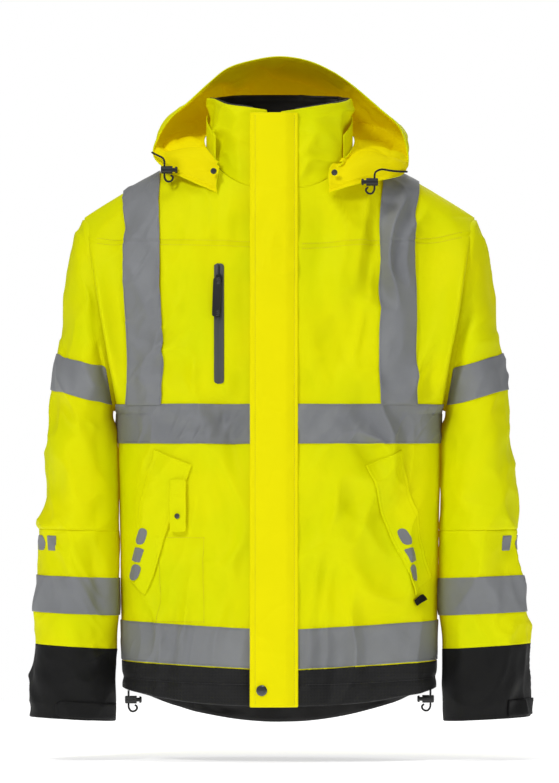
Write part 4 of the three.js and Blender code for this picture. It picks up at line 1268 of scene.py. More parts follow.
@dataclass
class Sleeves:
    """Both sleeves with their cuffs, bands, tabs and small reflective marks."""

    shell: float = 3.0 * MM
    tape: float = 0.9 * MM
    sides: int = 120
    shoulder_from: float = 400 * MM
    shoulder_to: float = 320 * MM
    elbow_z: float = 250 * MM
    elbow_to: float = 200 * MM
    band_inner: float = 411 * MM
    band_outer: float = 428 * MM
    band_width: float = 46 * MM
    band_turn: tuple = (-158, 158)
    seam_place: float = 0.05
    tuck: float = 9 * MM
    tuck_rise: float = 3.0 * MM
    lower_band: tuple = (9.0, 10.0)
    mark_z: tuple = (223 * MM, 243 * MM)

    def build(self) -> None:
        """Builds every piece of both sleeves."""
        for side in Side:
            self._upper(side)
            self._lower(side)
            self._tab(side)
            self._marks(side)

    def tube(self, side: Side, first: float, last: float, cols: int, lift: float = 0.0) -> np.ndarray:
        """A grid round the sleeve between two places.

        Args:
            side: Left or right.
            first: Place where it starts.
            last: Place where it ends.
            cols: Columns from first to last.
            lift: Height above the cloth.

        Returns:
            Rows by columns by 3.
        """
        angle, place = np.meshgrid(np.linspace(0, 2 * math.pi, self.sides, endpoint=False),
                                   np.linspace(first, last, cols), indexing="ij")
        grid = SLEEVE_CLOTH.at(side, place, angle, lift)
        centre = grid.mean(axis=0, keepdims=True)
        facing = np.sum(grid_normals(grid, True) * (grid - centre))
        return grid if facing > 0 else np.roll(grid[::-1], 1, 0).copy()

    def _bend_shoulder(self, obj: bpy.types.Object) -> None:
        """Bakes the piece's placement into its mesh."""
        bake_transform(obj)

    def _bend_elbow(self, obj: bpy.types.Object) -> None:
        """Bakes the piece's placement into its mesh."""
        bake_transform(obj)

    def _upper(self, side: Side) -> None:
        """Yellow sleeve from the armhole to the elbow seam, with its band.

        Args:
            side: Left or right.
        """
        word = side.word
        grid = self.tube(side, 0.0, SLEEVE.elbow, 190)
        hidden = grid[:, :1] - np.array([side.value * self.tuck, 0, -self.tuck_rise])
        obj = cloth(f"upper_{word}", np.concatenate([hidden, grid], axis=1), self.shell, wraps=True)
        line_inside(obj, YELLOW, LINING)
        self._bend_shoulder(obj)
        settle(obj, "", "yellow_shell", f"sleeve_head_{word}", f"upper_sleeve_{word}")
        obj = cloth(f"upper_band_{word}", self._band_grid(side), self.tape)
        self._bend_shoulder(obj)
        dress(obj, "", SILVER.material(), "reflective_band", f"upper_sleeve_band_{word}")

    def _band_grid(self, side: Side) -> np.ndarray:
        """A level band that ends at the armhole seam in front and behind.

        Args:
            side: Left or right.

        Returns:
            Rows by columns by 3.
        """
        places = np.linspace(self.seam_place, 7.5, 300)
        angles = np.radians(np.linspace(*self.band_turn, 130))
        grid = np.zeros((len(angles), 20, 3))
        for row, angle in enumerate(angles):
            along = SLEEVE.point(side, places, np.full_like(places, angle))
            share = smooth(np.abs(along[:, 0]), 0.215, 0.295)
            low = mix(self.band_inner, self.band_outer, share)
            height = along[:, 2] - low
            level = np.linspace(0, self.band_width, 20)
            at = np.interp(-level, -height, places)
            grid[row] = SLEEVE_CLOTH.at(side, at, np.full_like(at, angle), 1.5 * MM)
        centre = SLEEVE.point(side, np.array(4.5), np.array([0, math.pi])).mean(axis=0)
        return outward(grid, centre)

    def _lower(self, side: Side) -> None:
        """Forearm, its band and the black cuff.

        Args:
            side: Left or right.
        """
        word = side.word
        grid = self.tube(side, SLEEVE.elbow + 0.01, SLEEVE.cuff, 80)
        obj = cloth(f"forearm_cloth_{word}", grid, self.shell, wraps=True)
        line_inside(obj, YELLOW, LINING)
        self._bend_elbow(obj)
        settle(obj, "", "yellow_shell", f"lower_sleeve_{word}")
        grid = self.tube(side, *self.lower_band, 22, 1.5 * MM)
        band = cloth(f"lower_band_{word}", grid, self.tape, wraps=True)
        dress(band, f"forearm_{word}", SILVER.material(), "reflective_band", f"lower_sleeve_band_{word}")
        grid = self.tube(side, SLEEVE.cuff + 0.01, SLEEVE.end, 60, 0.2 * MM)
        cuff = cloth(f"cuff_cloth_{word}", grid, self.shell, wraps=True)
        line_inside(cuff, BLACK, LINING)
        settle(cuff, f"forearm_{word}", "black_shell", f"cuff_{word}")

    def _tab(self, side: Side) -> None:
        """Narrow tab that closes the cuff, sewn at one end.

        Args:
            side: Left or right.
        """
        ends = {Side.LEFT: (165, 72), Side.RIGHT: (62, -25)}[side]
        angle, share = np.meshgrid(np.radians(np.linspace(*ends, 50)), np.linspace(0, 1, 8), indexing="ij")
        round_end = 1 - 0.35 * smooth(np.linspace(0, 1, 50), 0.9, 1.0)[:, None] ** 2
        place = SLEEVE.cuff + 0.79 + 0.23 * (0.5 + (share - 0.5) * round_end) - 0.05
        grid = SLEEVE_CLOTH.at(side, np.minimum(place, SLEEVE.end - 0.01), angle, 2.9 * MM)
        centre = SLEEVE.point(side, np.array(SLEEVE.end - 0.3), np.array([0, math.pi])).mean(axis=0)
        obj = cloth(f"cuff_tab_cloth_{side.word}", outward(grid, centre), 1.8 * MM)
        dress(obj, f"cuff_tab_{side.word}", BLACK.material(), "black_shell", f"cuff_tab_{side.word}")

    def _marks(self, side: Side) -> None:
        """A pill and a square of reflective film on the outer side of the forearm.

        Args:
            side: Left or right.
        """
        low, high = self.mark_z
        for number, (first, last, pill) in enumerate(((10, 34, True), (40, 58, False))):
            angle, share = np.meshgrid(np.radians(np.linspace(first, last, 16)), np.linspace(-1, 1, 9),
                                       indexing="ij")
            ends = np.linspace(-1, 1, 16)[:, None]
            width = np.sqrt(np.clip(1.02 - np.abs(ends) ** (5 if pill else 14), 0.02, 1))
            z = (low + high) / 2 + share * width * (high - low) / 2 * 0.95
            place = 9 - (z - 0.190) / (0.251 - 0.190)
            grid = SLEEVE_CLOTH.at(side, place, angle, 0.7 * MM)
            centre = SLEEVE.point(side, np.array(8.5), np.array([0, math.pi])).mean(axis=0)
            obj = cloth(f"sleeve_mark_{side.word}_{number}", outward(grid, centre), 0.5 * MM)
            self._bend_elbow(obj)
            dress(obj, "", SILVER.material(), "reflective_band")


# ---- Collar and hood ----------------------------------------------------------------------------------


def catmull(points: Sequence, t: np.ndarray) -> np.ndarray:
    """A centripetal Catmull-Rom curve through points.

    Args:
        points: The points that the curve goes through.
        t: Places from 0 at the first point to 1 at the last.

    Returns:
        Points with a last axis of 3.
    """
    p = np.asarray(points, float)
    p = np.concatenate([[2 * p[0] - p[1]], p, [2 * p[-1] - p[-2]]])
    spans = len(p) - 3
    k = np.clip(np.floor(t * spans).astype(int), 0, spans - 1)
    w = (t * spans - k)[..., None]
    a, b, c, d = p[k], p[k + 1], p[k + 2], p[k + 3]
    gap = [np.maximum(np.linalg.norm(q - r, axis=-1, keepdims=True) ** 0.5, 1e-9)
           for q, r in ((b, a), (c, b), (d, c))]
    first = ((b - a) / gap[0] - (c - a) / (gap[0] + gap[1]) + (c - b) / gap[1]) * gap[1]
    last = ((c - b) / gap[1] - (d - b) / (gap[1] + gap[2]) + (d - c) / gap[2]) * gap[1]
    return b + first * w + (-3 * b + 3 * c - 2 * first - last) * w**2 + (2 * b - 2 * c + first + last) * w**3


@dataclass
class Collar:
    """The stand-up collar and its black lining."""

    half: float = 92 * MM
    front_z: float = 783 * MM
    back_z: float = 808 * MM
    back_y: float = 62 * MM
    seam: float = 0.4 * MM
    shell: float = 2.8 * MM
    strip_rise: float = 42 * MM

    def point(self, angle: np.ndarray, t: np.ndarray, inset: float) -> np.ndarray:
        """A point of the collar by angle from the centre front and share of its height.

        Args:
            angle: Angles from the centre front.
            t: Shares of the height.
            inset: Distance inside the outer face.

        Returns:
            Points with a last axis of 3.
        """
        low = BODY.neck(angle)
        front = float(BODY.front_y(self.front_z))
        x, y = BODY.ring(angle, self.half, front, self.back_y)
        z = mix(self.front_z, self.back_z, ((1 - np.cos(angle)) / 2) ** 0.4)
        p = np.stack([mix(low[..., 0], x, t), mix(low[..., 1], y, t), mix(low[..., 2] + self.seam, z, t)], -1)
        inward = np.stack([-p[..., 0], (front + self.back_y) / 2 - p[..., 1], 0 * t], -1)
        return p + inset * inward / np.linalg.norm(inward, axis=-1, keepdims=True)

    def grid(self, setback: float, inset: float, low: float, high: float, cols: int) -> np.ndarray:
        """A folded grid round the collar.

        Args:
            setback: Distance of both ends from the zip's sides.
            inset: Distance inside the outer face.
            low: Share of the height where it starts.
            high: Share of the height where it ends.
            cols: Columns from low to high.

        Returns:
            Rows by columns by 3.
        """
        ends = [math.asin(min(1, (abs(x) / BODY.neck_half)) ** (BODY.power / 2))
                for x in (ZIP_X + ZIP_OPENING + setback, ZIP_X - ZIP_OPENING - setback)]
        angle, t = np.meshgrid(np.linspace(ends[0], 2 * math.pi - ends[1], 220), np.linspace(low, high, cols),
                               indexing="ij")
        grid = outward(self.point(angle, t, inset), (0, -0.02, 0.74))
        folds = Folds(swell=3.0 * MM, swell_size=(0.05, 0.06, 0.05), crease=7.0 * MM,
                      crease_size=(0.035, 0.06, 0.035), crumple=0.4 * MM, turn=0.25, seed=70)
        calm = smooth(t, 0.0, 0.2) * smooth(np.abs(grid[..., 0] - ZIP_X), 0.02, 0.05)
        lift = folds.lift(grid) * calm + 2.2 * MM * np.sin(math.pi * np.clip(t, 0, 1)) * calm
        lift = lift - 0.9 * MM * np.exp(-(((t - 0.9) / 0.012) ** 2))
        return grid + grid_normals(grid, False) * lift[..., None]

    def build(self) -> None:
        """Builds the collar and its lining."""
        obj = cloth("collar_cloth", self.grid(0.0, 0.0, 0.0, 1.0, 46), self.shell)
        line_inside(obj, YELLOW, LINING)
        settle(obj, "torso", "yellow_shell", "collar")
        lining = cloth("collar_inner", self.grid(18 * MM, self.shell + 1.4 * MM, 0.02, 1.015, 40), 2.4 * MM)
        line_inside(lining, LINING, LINING)
        settle(lining, "torso", "black_lining", "collar_lining")
        self._hood_seam()

    def _hood_seam(self) -> None:
        """The upright strip round the neck that the hood is fastened to."""
        angle, t = np.meshgrid(np.linspace(1.0, 2 * math.pi - 1.0, 160), np.linspace(0, 1, 10), indexing="ij")
        neck = BODY.neck(angle)
        front = float(BODY.front_y(BODY.neck_front_z)) - 5 * MM
        x, y = BODY.ring(angle, BODY.neck_half + 6 * MM, front, BODY.neck_back_y + 8 * MM)
        low = mix(neck[..., 2] - 6 * MM, neck[..., 2] + self.strip_rise, t)
        obj = cloth("hood_seam_strip", outward(np.stack([x, y, low], -1), (0, -0.02, 0.74)), 1.2 * MM)
        line_inside(obj, YELLOW, YELLOW)
        settle(obj, "torso", "yellow_shell")


@dataclass
class Hood:
    """The open hood that hangs behind the collar, its free edge turned forward."""

    rim_right: tuple = ((63, -110, 681), (100, -106, 692), (140, -90, 699), (160, -64, 707), (164, -42, 726),
                        (154, -29, 764), (128, -26, 789), (98, -22, 815), (72, -19, 834), (38, -16, 850),
                        (2, -14, 856))
    rim_left: tuple = ((-30, -15, 852), (-66, -17, 841), (-90, -21, 822), (-118, -25, 796), (-140, -28, 776),
                       (-155, -32, 752), (-161, -42, 731), (-146, -62, 712), (-120, -88, 699),
                       (-80, -104, 681))
    hinge_y: float = 84 * MM
    ease: float = 8 * MM
    lift: float = 14 * MM
    front_angle: float = 0.85
    bulge: float = 100 * MM
    crown: float = 9 * MM
    fullness: float = 84 * MM
    thickness: float = 1.6 * MM
    rows: int = 260
    cols: int = 90
    panel_seams: tuple = (0.33, 0.67)

    def surface(self, s: np.ndarray, t: np.ndarray) -> np.ndarray:
        """Points of the hood, from its free edge (t 0) to the seam round the neck (t 1).

        Args:
            s: Shares of the way round, from the right to the left.
            t: Shares of the way from the free edge to the neck.

        Returns:
            Points with a last axis of 3.
        """
        edge = catmull(np.array(self.rim_right + self.rim_left) * MM, s)
        angle = mix(self.front_angle, 2 * math.pi - self.front_angle, s)
        front = float(BODY.front_y(BODY.neck_front_z)) - self.ease
        x, y = BODY.ring(angle, BODY.neck_half + self.ease, front, self.hinge_y)
        base = np.stack([x, y, BODY.neck(angle)[..., 2] + self.lift], -1)
        full = np.clip(np.sin(math.pi * s), 0, None) ** 0.8
        first = edge + np.stack([0.04 * edge[..., 0], self.bulge * full, self.crown * full], -1)
        first[..., 2] = np.maximum(first[..., 2], base[..., 2] + self.crown)
        second = base + np.stack([0.4 * x * full, self.fullness * full, -4 * MM * full], -1)
        t = t[..., None]
        return (1 - t) ** 3 * edge + 3 * (1 - t) ** 2 * t * first + 3 * (1 - t) * t**2 * second + t**3 * base

    def build(self) -> None:
        """Builds the hood's cloth."""
        s, t = np.meshgrid(np.linspace(0, 1, self.rows), np.linspace(0, 1, self.cols) ** 1.25, indexing="ij")
        flat = self.surface(s, t)
        grid = outward(flat, (0, 0.0, 0.72))
        folds = Folds(swell=8.0 * MM, swell_size=(0.08, 0.08, 0.07), crease=9.0 * MM,
                      crease_size=(0.055, 0.06, 0.05), crumple=0.5 * MM, seed=90)
        calm = smooth(t, 0.0, 0.22) * (1 - smooth(t, 0.75, 1.0))
        lift = folds.lift(flat) * calm
        for seam in self.panel_seams:
            lift = lift - 1.2 * MM * np.exp(-(((s - seam) / 0.004) ** 2)) * smooth(t, 0.02, 0.06)
        lift = lift + 1.3 * MM * (1 - smooth(t, 0.035, 0.05))
        lift = lift - 0.8 * MM * np.exp(-(((t - 0.055) / 0.006) ** 2))
        if grid is not flat:
            lift = lift[::-1]
        grid = grid + grid_normals(grid, False) * lift[..., None]
        obj = cloth("hood_cloth", grid, self.thickness)
        # The hood's inside takes the finish with painted warm shade and painted glow.
        line_inside(obj, YELLOW, HOOD_INSIDE_PAINTED_SHADE)
        settle(obj, "hood", "yellow_shell", "hood")


# ---- Front closing and pockets ------------------------------------------------------------------------


@dataclass
class StormFlap:
    """The flap over the main zip, sewn along its right edge."""

    left: float = -37 * MM
    right: float = 23 * MM
    low: float = 26.6 * MM
    high: float = 782 * MM
    raise_free: float = 9.6 * MM
    raise_sewn: float = 3.4 * MM
    thickness: float = 2.4 * MM

    def at(self, x: np.ndarray, z: np.ndarray, lift: float = 0.0) -> np.ndarray:
        """Points on the folded flap.

        Args:
            x: Places along X.
            z: Heights.
            lift: Height above the cloth.

        Returns:
            Points with a last axis of 3.
        """
        x, z = np.broadcast_arrays(np.asarray(x, float), np.asarray(z, float))
        height = mix(self.raise_free, self.raise_sewn, smooth(x, 0.006, 0.023)) + lift
        base = np.stack([x, BODY.front_y(z), z], -1)
        folds = Folds(swell=2.0 * MM, swell_size=(0.2, 0.2, 0.13), crease=2.4 * MM,
                      crease_size=(0.05, 0.2, 0.05), crumple=0.3 * MM, turn=0.2, seed=110)
        height = height + folds.lift(base) * smooth(z, 0.03, 0.08)
        for edge in (self.left + 6 * MM, self.right - 4 * MM):
            height = height - 0.5 * MM * np.exp(-(((x - edge) / (1.2 * MM)) ** 2))
        height = height - 0.6 * MM * np.exp(-(((z - 0.688) / (1.6 * MM)) ** 2))
        return base - np.stack([0 * height, height, 0 * height], -1)

    def build(self) -> None:
        """Builds the flap."""
        x, z = np.meshgrid(np.linspace(self.left, self.right, 50), np.linspace(self.low, self.high, 320),
                           indexing="ij")
        obj = cloth("storm_flap_cloth", outward(self.at(x, z), (0, 0, 0.4)), self.thickness)
        line_inside(obj, FLAP, YELLOW)
        settle(obj, "storm_flap", "yellow_shell", "storm_flap")


def strip_on_body(x: float, z: float, length: float, width: float, lean: float, round_power: float,
                  lift: float, counts: tuple[int, int] = (24, 9)) -> np.ndarray:
    """A strip with rounded ends laid on the front.

    Args:
        x: Centre along X.
        z: Centre height.
        length: Length along the strip.
        width: Width of the strip.
        lean: Angle from upright, towards +X at the top.
        round_power: How square the ends are: 2 is round.
        lift: Height above the cloth.
        counts: Rows and columns.

    Returns:
        Rows by columns by 3.
    """
    a, b = np.meshgrid(np.sin(np.linspace(-math.pi / 2, math.pi / 2, counts[0])),
                       np.linspace(-1, 1, counts[1]), indexing="ij")
    taper = np.clip(1.004 - np.abs(a) ** round_power, 0.004, 1) ** (1 / 2)
    along, across = a * length / 2, b * taper * width / 2
    px = x + along * math.sin(lean) + across * math.cos(lean)
    pz = z + along * math.cos(lean) - across * math.sin(lean)
    return CLOTH.at(Face.FRONT, px, pz, lift)


@dataclass
class ChestPocket:
    """The upright welded zip on the left chest with its pull."""

    x: float = -77 * MM
    low: float = 437 * MM
    high: float = 590 * MM
    width: float = 12 * MM
    slider_z: float = 570 * MM
    pull: float = 48 * MM

    def build(self) -> None:
        """Builds the tape, the teeth and the pull."""
        middle, length = (self.low + self.high) / 2, self.high - self.low
        grid = strip_on_body(self.x, middle, length, self.width, 0.0, 60, 1.6 * MM, (120, 21))
        groove = np.exp(-(((grid[..., 0] - self.x) / (1.6 * MM)) ** 2))
        grid[..., 1] += 0.9 * MM * groove
        obj = cloth("chest_zip_cloth", outward(grid, (0, 0, 0.5)), 1.2 * MM)
        dress(obj, "torso", RUBBER.material(), "zip_rubber", "chest_zip_tape")
        z = np.linspace(self.slider_z - self.pull, self.high - 3 * MM, 40)
        line = CLOTH.at(Face.FRONT, np.full_like(z, self.x), z, 1.3 * MM)
        Repeater("chest_zip_teeth", [line], 1.5 * MM, 0.85 * MM, 0.9 * MM, TEETH).build("torso", "zip_teeth")
        centre = self.slider_z - self.pull / 2 + 1 * MM
        grid = strip_on_body(self.x - 2.5 * MM, centre, self.pull + 2 * MM, 9 * MM, 0.03, 26, 6.4 * MM,
                             (90, 13))
        z = grid[..., 2]
        ribs = 0.45 * MM * np.sin((z - centre) / (0.42 * MM)) * smooth(np.abs(z - centre), 16 * MM, 17 * MM)
        grid[..., 1] -= ribs * (np.abs(grid[..., 0] - self.x) < 3.2 * MM)
        obj = cloth("chest_pull_grip", outward(grid, (0, 0, 0.5)), 2.2 * MM)
        dress(obj, "chest_pull", MOULDED.material(), "moulded_lock", "chest_zip_pull")


@dataclass
class HandPockets:
    """Slanted pocket flaps with their marks, the snap tab, the bags inside and the blank label."""

    corners: tuple = ((112, 333), (158, 352), (172, 168), (192, 190))
    bag: tuple = ((118, 320), (160, 338), (74, 150), (180, 146))
    flap_lift: float = 3.4 * MM
    flap: float = 2.2 * MM
    marks: tuple = ((171, 242), (176, 218.5), (180, 196))
    mark_lean: float = -0.29
    tab_x: float = -127.5 * MM
    tab_z: tuple = (248 * MM, 315 * MM)
    tab_lift: float = 7.2 * MM

    def quad(self, side: Side, corners: Sequence, lift: float, puff: float,
             counts: tuple[int, int]) -> np.ndarray:
        """A four-cornered grid on the front, puffed up in the middle.

        Args:
            side: Left or right.
            corners: Upper inner, upper outer, lower inner and lower outer corner.
            lift: Height above the cloth.
            puff: How far the middle stands out.
            counts: Rows and columns.

        Returns:
            Rows by columns by 3.
        """
        top_in, top_out, low_in, low_out = np.array(corners) * MM
        s, t = np.meshgrid(np.linspace(0, 1, counts[0]), np.linspace(0, 1, counts[1]), indexing="ij")
        place = mix(mix(low_in, low_out, s[..., None]), mix(top_in, top_out, s[..., None]), t[..., None])
        dome = (np.sin(math.pi * s) * np.sin(math.pi * t)) ** 0.4
        rim = np.minimum(np.minimum(s, 1 - s) * 46 * MM, np.minimum(t, 1 - t) * 170 * MM)
        stitched = np.exp(-(((rim - 4 * MM) / (1.1 * MM)) ** 2))
        height = lift + puff * dome - 0.3 * puff * stitched
        return CLOTH.at(Face.FRONT, side.value * place[..., 0], place[..., 1], height)

    def build(self) -> None:
        """Builds both pockets."""
        for side in Side:
            grid = outward(self.quad(side, self.corners, self.flap_lift, 1.6 * MM, (44, 110)), (0, 0, 0.3))
            obj = cloth(f"pocket_cloth_{side.word}", grid, self.flap)
            line_inside(obj, YELLOW, YELLOW)
            settle(obj, f"pocket_flap_{side.word}", "yellow_shell", f"pocket_flap_{side.word}")
            grid = outward(self.quad(side, self.bag, -6 * MM, 0.0, (20, 30)), (0, 0, 0.3))
            bag = cloth(f"pocket_lining_{side.word}", grid, 1.6 * MM)
            line_inside(bag, LINING, LINING)
            settle(bag, "torso", "black_lining", f"pocket_bag_{side.word}")
            for number, (x, z) in enumerate(self.marks):
                x = x if side is Side.LEFT else x - 11.5
                length, round_power = (18 * MM, 30) if number == 1 else (21 * MM, 4)
                grid = strip_on_body(side.value * x * MM, z * MM, length, 10 * MM,
                                     side.value * self.mark_lean, round_power, self.flap_lift + 2.2 * MM)
                mark = cloth(f"pocket_mark_{side.word}_{number}", outward(grid, (0, 0, 0.3)), 0.5 * MM)
                dress(mark, f"pocket_flap_{side.word}", SILVER.material(), "reflective_band")
        self._tab()
        grid = strip_on_body(177 * MM, 161 * MM, 17 * MM, 8 * MM, 1.08, 60, 3.2 * MM, (14, 8))
        label = cloth("blank_label", outward(grid, (0, 0, 0.3)), 0.7 * MM)
        dress(label, "torso", BLACK.material(), "black_shell")

    def _tab(self) -> None:
        """The narrow snap tab at the left pocket."""
        middle, length = sum(self.tab_z) / 2, self.tab_z[1] - self.tab_z[0]
        grid = strip_on_body(self.tab_x, middle, length, 19 * MM, 0.0, 40, self.tab_lift, (60, 18))
        obj = cloth("snap_tab_cloth", outward(grid, (0, 0, 0.3)), 1.5 * MM)
        line_inside(obj, YELLOW, YELLOW)
        settle(obj, "snap_tab", "yellow_shell", "snap_tab")


# ---- What repeats along a line ------------------------------------------------------------------------


@dataclass
class Repeater:
    """Small rods set end to end along lines: stitches, or the teeth of a zip."""

    name: str
    lines: Sequence[np.ndarray]
    spacing: float
    length: float
    radius: float
    finish: Finish

    def _tree(self) -> tuple[bpy.types.NodeTree, dict[str, str]]:
        """Builds the node tree.

        Returns:
            The tree, and the identifier of each named input.
        """
        tree = bpy.data.node_groups.new(f"{self.name} nodes", "GeometryNodeTree")
        ids = {}
        for label, kind in (("Lines", "NodeSocketGeometry"), ("Spacing", "NodeSocketFloat"),
                            ("Length", "NodeSocketFloat"), ("Radius", "NodeSocketFloat"),
                            ("Finish", "NodeSocketMaterial")):
            ids[label] = tree.interface.new_socket(label, in_out="INPUT", socket_type=kind).identifier
        tree.interface.new_socket("Rods", in_out="OUTPUT", socket_type="NodeSocketGeometry")
        nodes, links = tree.nodes, tree.links
        given, out = nodes.new("NodeGroupInput"), nodes.new("NodeGroupOutput")
        curve = nodes.new("GeometryNodeMeshToCurve")
        points = nodes.new("GeometryNodeCurveToPoints")
        points.mode = "LENGTH"
        rod = nodes.new("GeometryNodeMeshCylinder")
        rod.inputs["Vertices"].default_value = 5
        scatter = nodes.new("GeometryNodeInstanceOnPoints")
        real = nodes.new("GeometryNodeRealizeInstances")
        finish = nodes.new("GeometryNodeSetMaterial")
        links.new(given.outputs["Lines"], curve.inputs["Mesh"])
        links.new(curve.outputs["Curve"], points.inputs["Curve"])
        links.new(given.outputs["Spacing"], points.inputs["Length"])
        links.new(given.outputs["Length"], rod.inputs["Depth"])
        links.new(given.outputs["Radius"], rod.inputs["Radius"])
        links.new(points.outputs["Points"], scatter.inputs["Points"])
        links.new(points.outputs["Rotation"], scatter.inputs["Rotation"])
        links.new(rod.outputs["Mesh"], scatter.inputs["Instance"])
        links.new(scatter.outputs["Instances"], real.inputs["Geometry"])
        links.new(real.outputs["Geometry"], finish.inputs["Geometry"])
        links.new(given.outputs["Finish"], finish.inputs["Material"])
        links.new(finish.outputs["Geometry"], out.inputs["Rods"])
        return tree, ids

    def make(self) -> bpy.types.Object:
        """Runs the tree and keeps its result as a plain mesh.

        Returns:
            The piece, not yet on a body.
        """
        points, edges, first = [], [], 0
        for line in self.lines:
            points.append(line)
            edges += [(first + k, first + k + 1) for k in range(len(line) - 1)]
            first += len(line)
        mesh = bpy.data.meshes.new(self.name)
        mesh.from_pydata((np.concatenate(points) + ORIGIN).tolist(), edges, [])
        obj = bpy.data.objects.new(self.name, mesh)
        bpy.context.scene.collection.objects.link(obj)
        tree, ids = self._tree()
        modifier = obj.modifiers.new("rods", "NODES")
        modifier.node_group = tree
        for label, value in (("Spacing", self.spacing), ("Length", self.length), ("Radius", self.radius),
                             ("Finish", self.finish.material())):
            modifier[ids[label]] = value
        graph = bpy.context.evaluated_depsgraph_get()
        baked = bpy.data.meshes.new_from_object(obj.evaluated_get(graph))
        obj.modifiers.remove(modifier)
        obj.data = baked
        return obj

    def build(self, body: str, slot: str) -> bpy.types.Object:
        """Makes the rods and puts them on a body.

        Args:
            body: CAD body that the rods move with.
            slot: Not used.

        Returns:
            The piece.
        """
        obj = self.make()
        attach(obj, body)
        log.info("%s: %d faces", obj.name, len(obj.data.polygons))
        return obj


@dataclass
class Stitching:
    """Rows of stitches along the seams, edges and tapes."""

    spacing: float = 3.0 * MM
    length: float = 2.1 * MM
    radius: float = 0.32 * MM
    margin: float = 1.5 * MM
    starts: dict = field(default_factory=lambda: {Face.FRONT: 0.034, Face.BACK: 0.002})
    flap: StormFlap = field(default_factory=StormFlap)
    torso: Torso = field(default_factory=Torso)

    def _sew(self, name: str, lines: Sequence[np.ndarray], finish: Finish, body: str) -> bpy.types.Object:
        """Sews one group of lines onto a body."""
        rows = Repeater(name, lines, self.spacing, self.length, self.radius, finish)
        return rows.build(body, finish.slot)

    def build(self) -> None:
        """Sews every row."""
        z = np.linspace(0.030, 0.778, 260)
        lines = [self.flap.at(np.full_like(z, x), z, 0.25 * MM)
                 for x in (self.flap.left + 6 * MM, self.flap.right - 4 * MM)]
        self._sew("stitches_flap", lines, THREAD, "storm_flap")
        rows = []
        for side in Side:
            x = side.value * np.linspace(0.030, 0.232, 120)
            for lift in (3.2 * MM, -3.0 * MM):
                rows.append(CLOTH.at(Face.FRONT, x, CLOTH.yoke(x) + lift, 0.25 * MM))
        low, high = np.array(PATCH) * MM
        px = np.linspace(low[0], high[0], 30)
        pz = np.linspace(low[1], high[1], 50)
        rows += [CLOTH.at(Face.FRONT, px, np.full_like(px, edge), 0.3 * MM) for edge in (low[1], high[1])]
        rows += [CLOTH.at(Face.FRONT, np.full_like(pz, edge), pz, 0.3 * MM) for edge in (low[0], high[0])]
        self._sew("stitches_front", rows, THREAD, "torso")
        self._tapes()
        self._hem()

    def _tapes(self) -> None:
        """Stitches along both edges of the body's tapes."""
        rows = []
        torso, margin = self.torso, self.margin
        top = torso.tape_lift + torso.tape + 0.3 * MM
        edges = margin, torso.band - margin
        for face in Face:
            for side in Side:
                x = side.value * np.linspace(self.starts[face], 0.196, 110)
                rise = BODY.trim_rise * np.abs(x) / BODY.hem_half
                rows += [CLOTH.at(face, x, torso.chest_band_z + edge + 0 * x, top) for edge in edges]
                rows += [CLOTH.at(face, x, torso.hem_band_z + edge + rise, top) for edge in edges]
                z = np.linspace(0.412, 0.640, 120)
                for across in (margin, torso.brace_share * torso.band - margin):
                    x = side.value * torso.brace_x(side, across, z)
                    rows.append(CLOTH.at(face, x, z, top + 1.4 * MM))
        self._sew("stitches_tape", rows, GREY_THREAD, "torso")

    def _hem(self) -> None:
        """The sewn line between the two padded channels of the hem."""
        rows = []
        for face in Face:
            for side in Side:
                x = side.value * np.linspace(self.starts[face], 0.192, 90)
                z = self.torso.channel_height(x)
                rows.append(CLOTH.at(face, x, z, -0.7 * MM))
        self._sew("stitches_hem", rows, DARK_THREAD, "torso")


# ---- Cords and locks ----------------------------------------------------------------------------------


@dataclass(frozen=True)
class CordLock:
    """One elastic cord that ends in a loop through a moulded lock."""

    name: str
    body: str
    place: tuple
    turned: bool
    route: tuple
    loop: tuple = ((-3, 0, -7), (-2.6, 0, -10.5), (0.4, 0, -14.6), (4.6, 0, -14.6), (7.8, 0, -11.4),
                   (7.2, 0, -8.2), (4.8, 0, -6.8))
    diameter: float = 2.6 * MM
    count: int = 40

    def path(self) -> np.ndarray:
        """The cord's middle line in the row frame."""
        sign = -1 if self.turned else 1
        line = catmull(np.array(self.route + self.loop) * MM, np.linspace(0, 1, self.count))
        return line * (sign, sign, 1) + np.array(self.place) * MM + ORIGIN

    def build(self) -> None:
        """Makes the cord and hides the CAD cord."""
        line = self.path()
        curve = bpy.data.curves.new(f"{self.name}_elastic", "CURVE")
        curve.dimensions = "3D"
        curve.bevel_depth = self.diameter / 2
        curve.bevel_resolution = 4
        curve.use_fill_caps = True
        spline = curve.splines.new("POLY")
        spline.points.add(len(line) - 1)
        for point, place in zip(spline.points, line):
            point.co = (*place, 1)
        obj = bpy.data.objects.new(f"{self.name}_elastic", curve)
        bpy.context.scene.collection.objects.link(obj)
        curve.materials.append(CORD.material())
        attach(obj, self.body)
        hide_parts(f"{self.name}_cord")


HEM_ROUTE = ((-3, 0, 12), (-3, 0, 9), (-3, 0, 4), (-3, 0, 0), (-3, 0, -4))
HOOD_LEFT_ROUTE = ((-19, 34, 23), (-16, 27, 21), (-10, 14, 18), (-5, 4, 15), (-3, 0, 11), (-3, 0, 5),
                   (-3, 0, 0), (-3, 0, -4))
HOOD_RIGHT_ROUTE = ((-45, -50, 14), (-34, -36, 14), (-22, -20, 15), (-11, -6, 16), (-4, -1, 12), (-3, 0, 5),
                    (-3, 0, 0), (-3, 0, -4))
LOCKS = (
    CordLock("hood_left", "hood", (-144, -84, 710), False, HOOD_LEFT_ROUTE),
    CordLock("hood_right", "hood", (118, -114, 694), True, HOOD_RIGHT_ROUTE),
    CordLock("hem_left", "torso", (-190, -64, 33), False, HEM_ROUTE),
    CordLock("hem_right", "torso", (190, -64, 34), True, HEM_ROUTE),
)


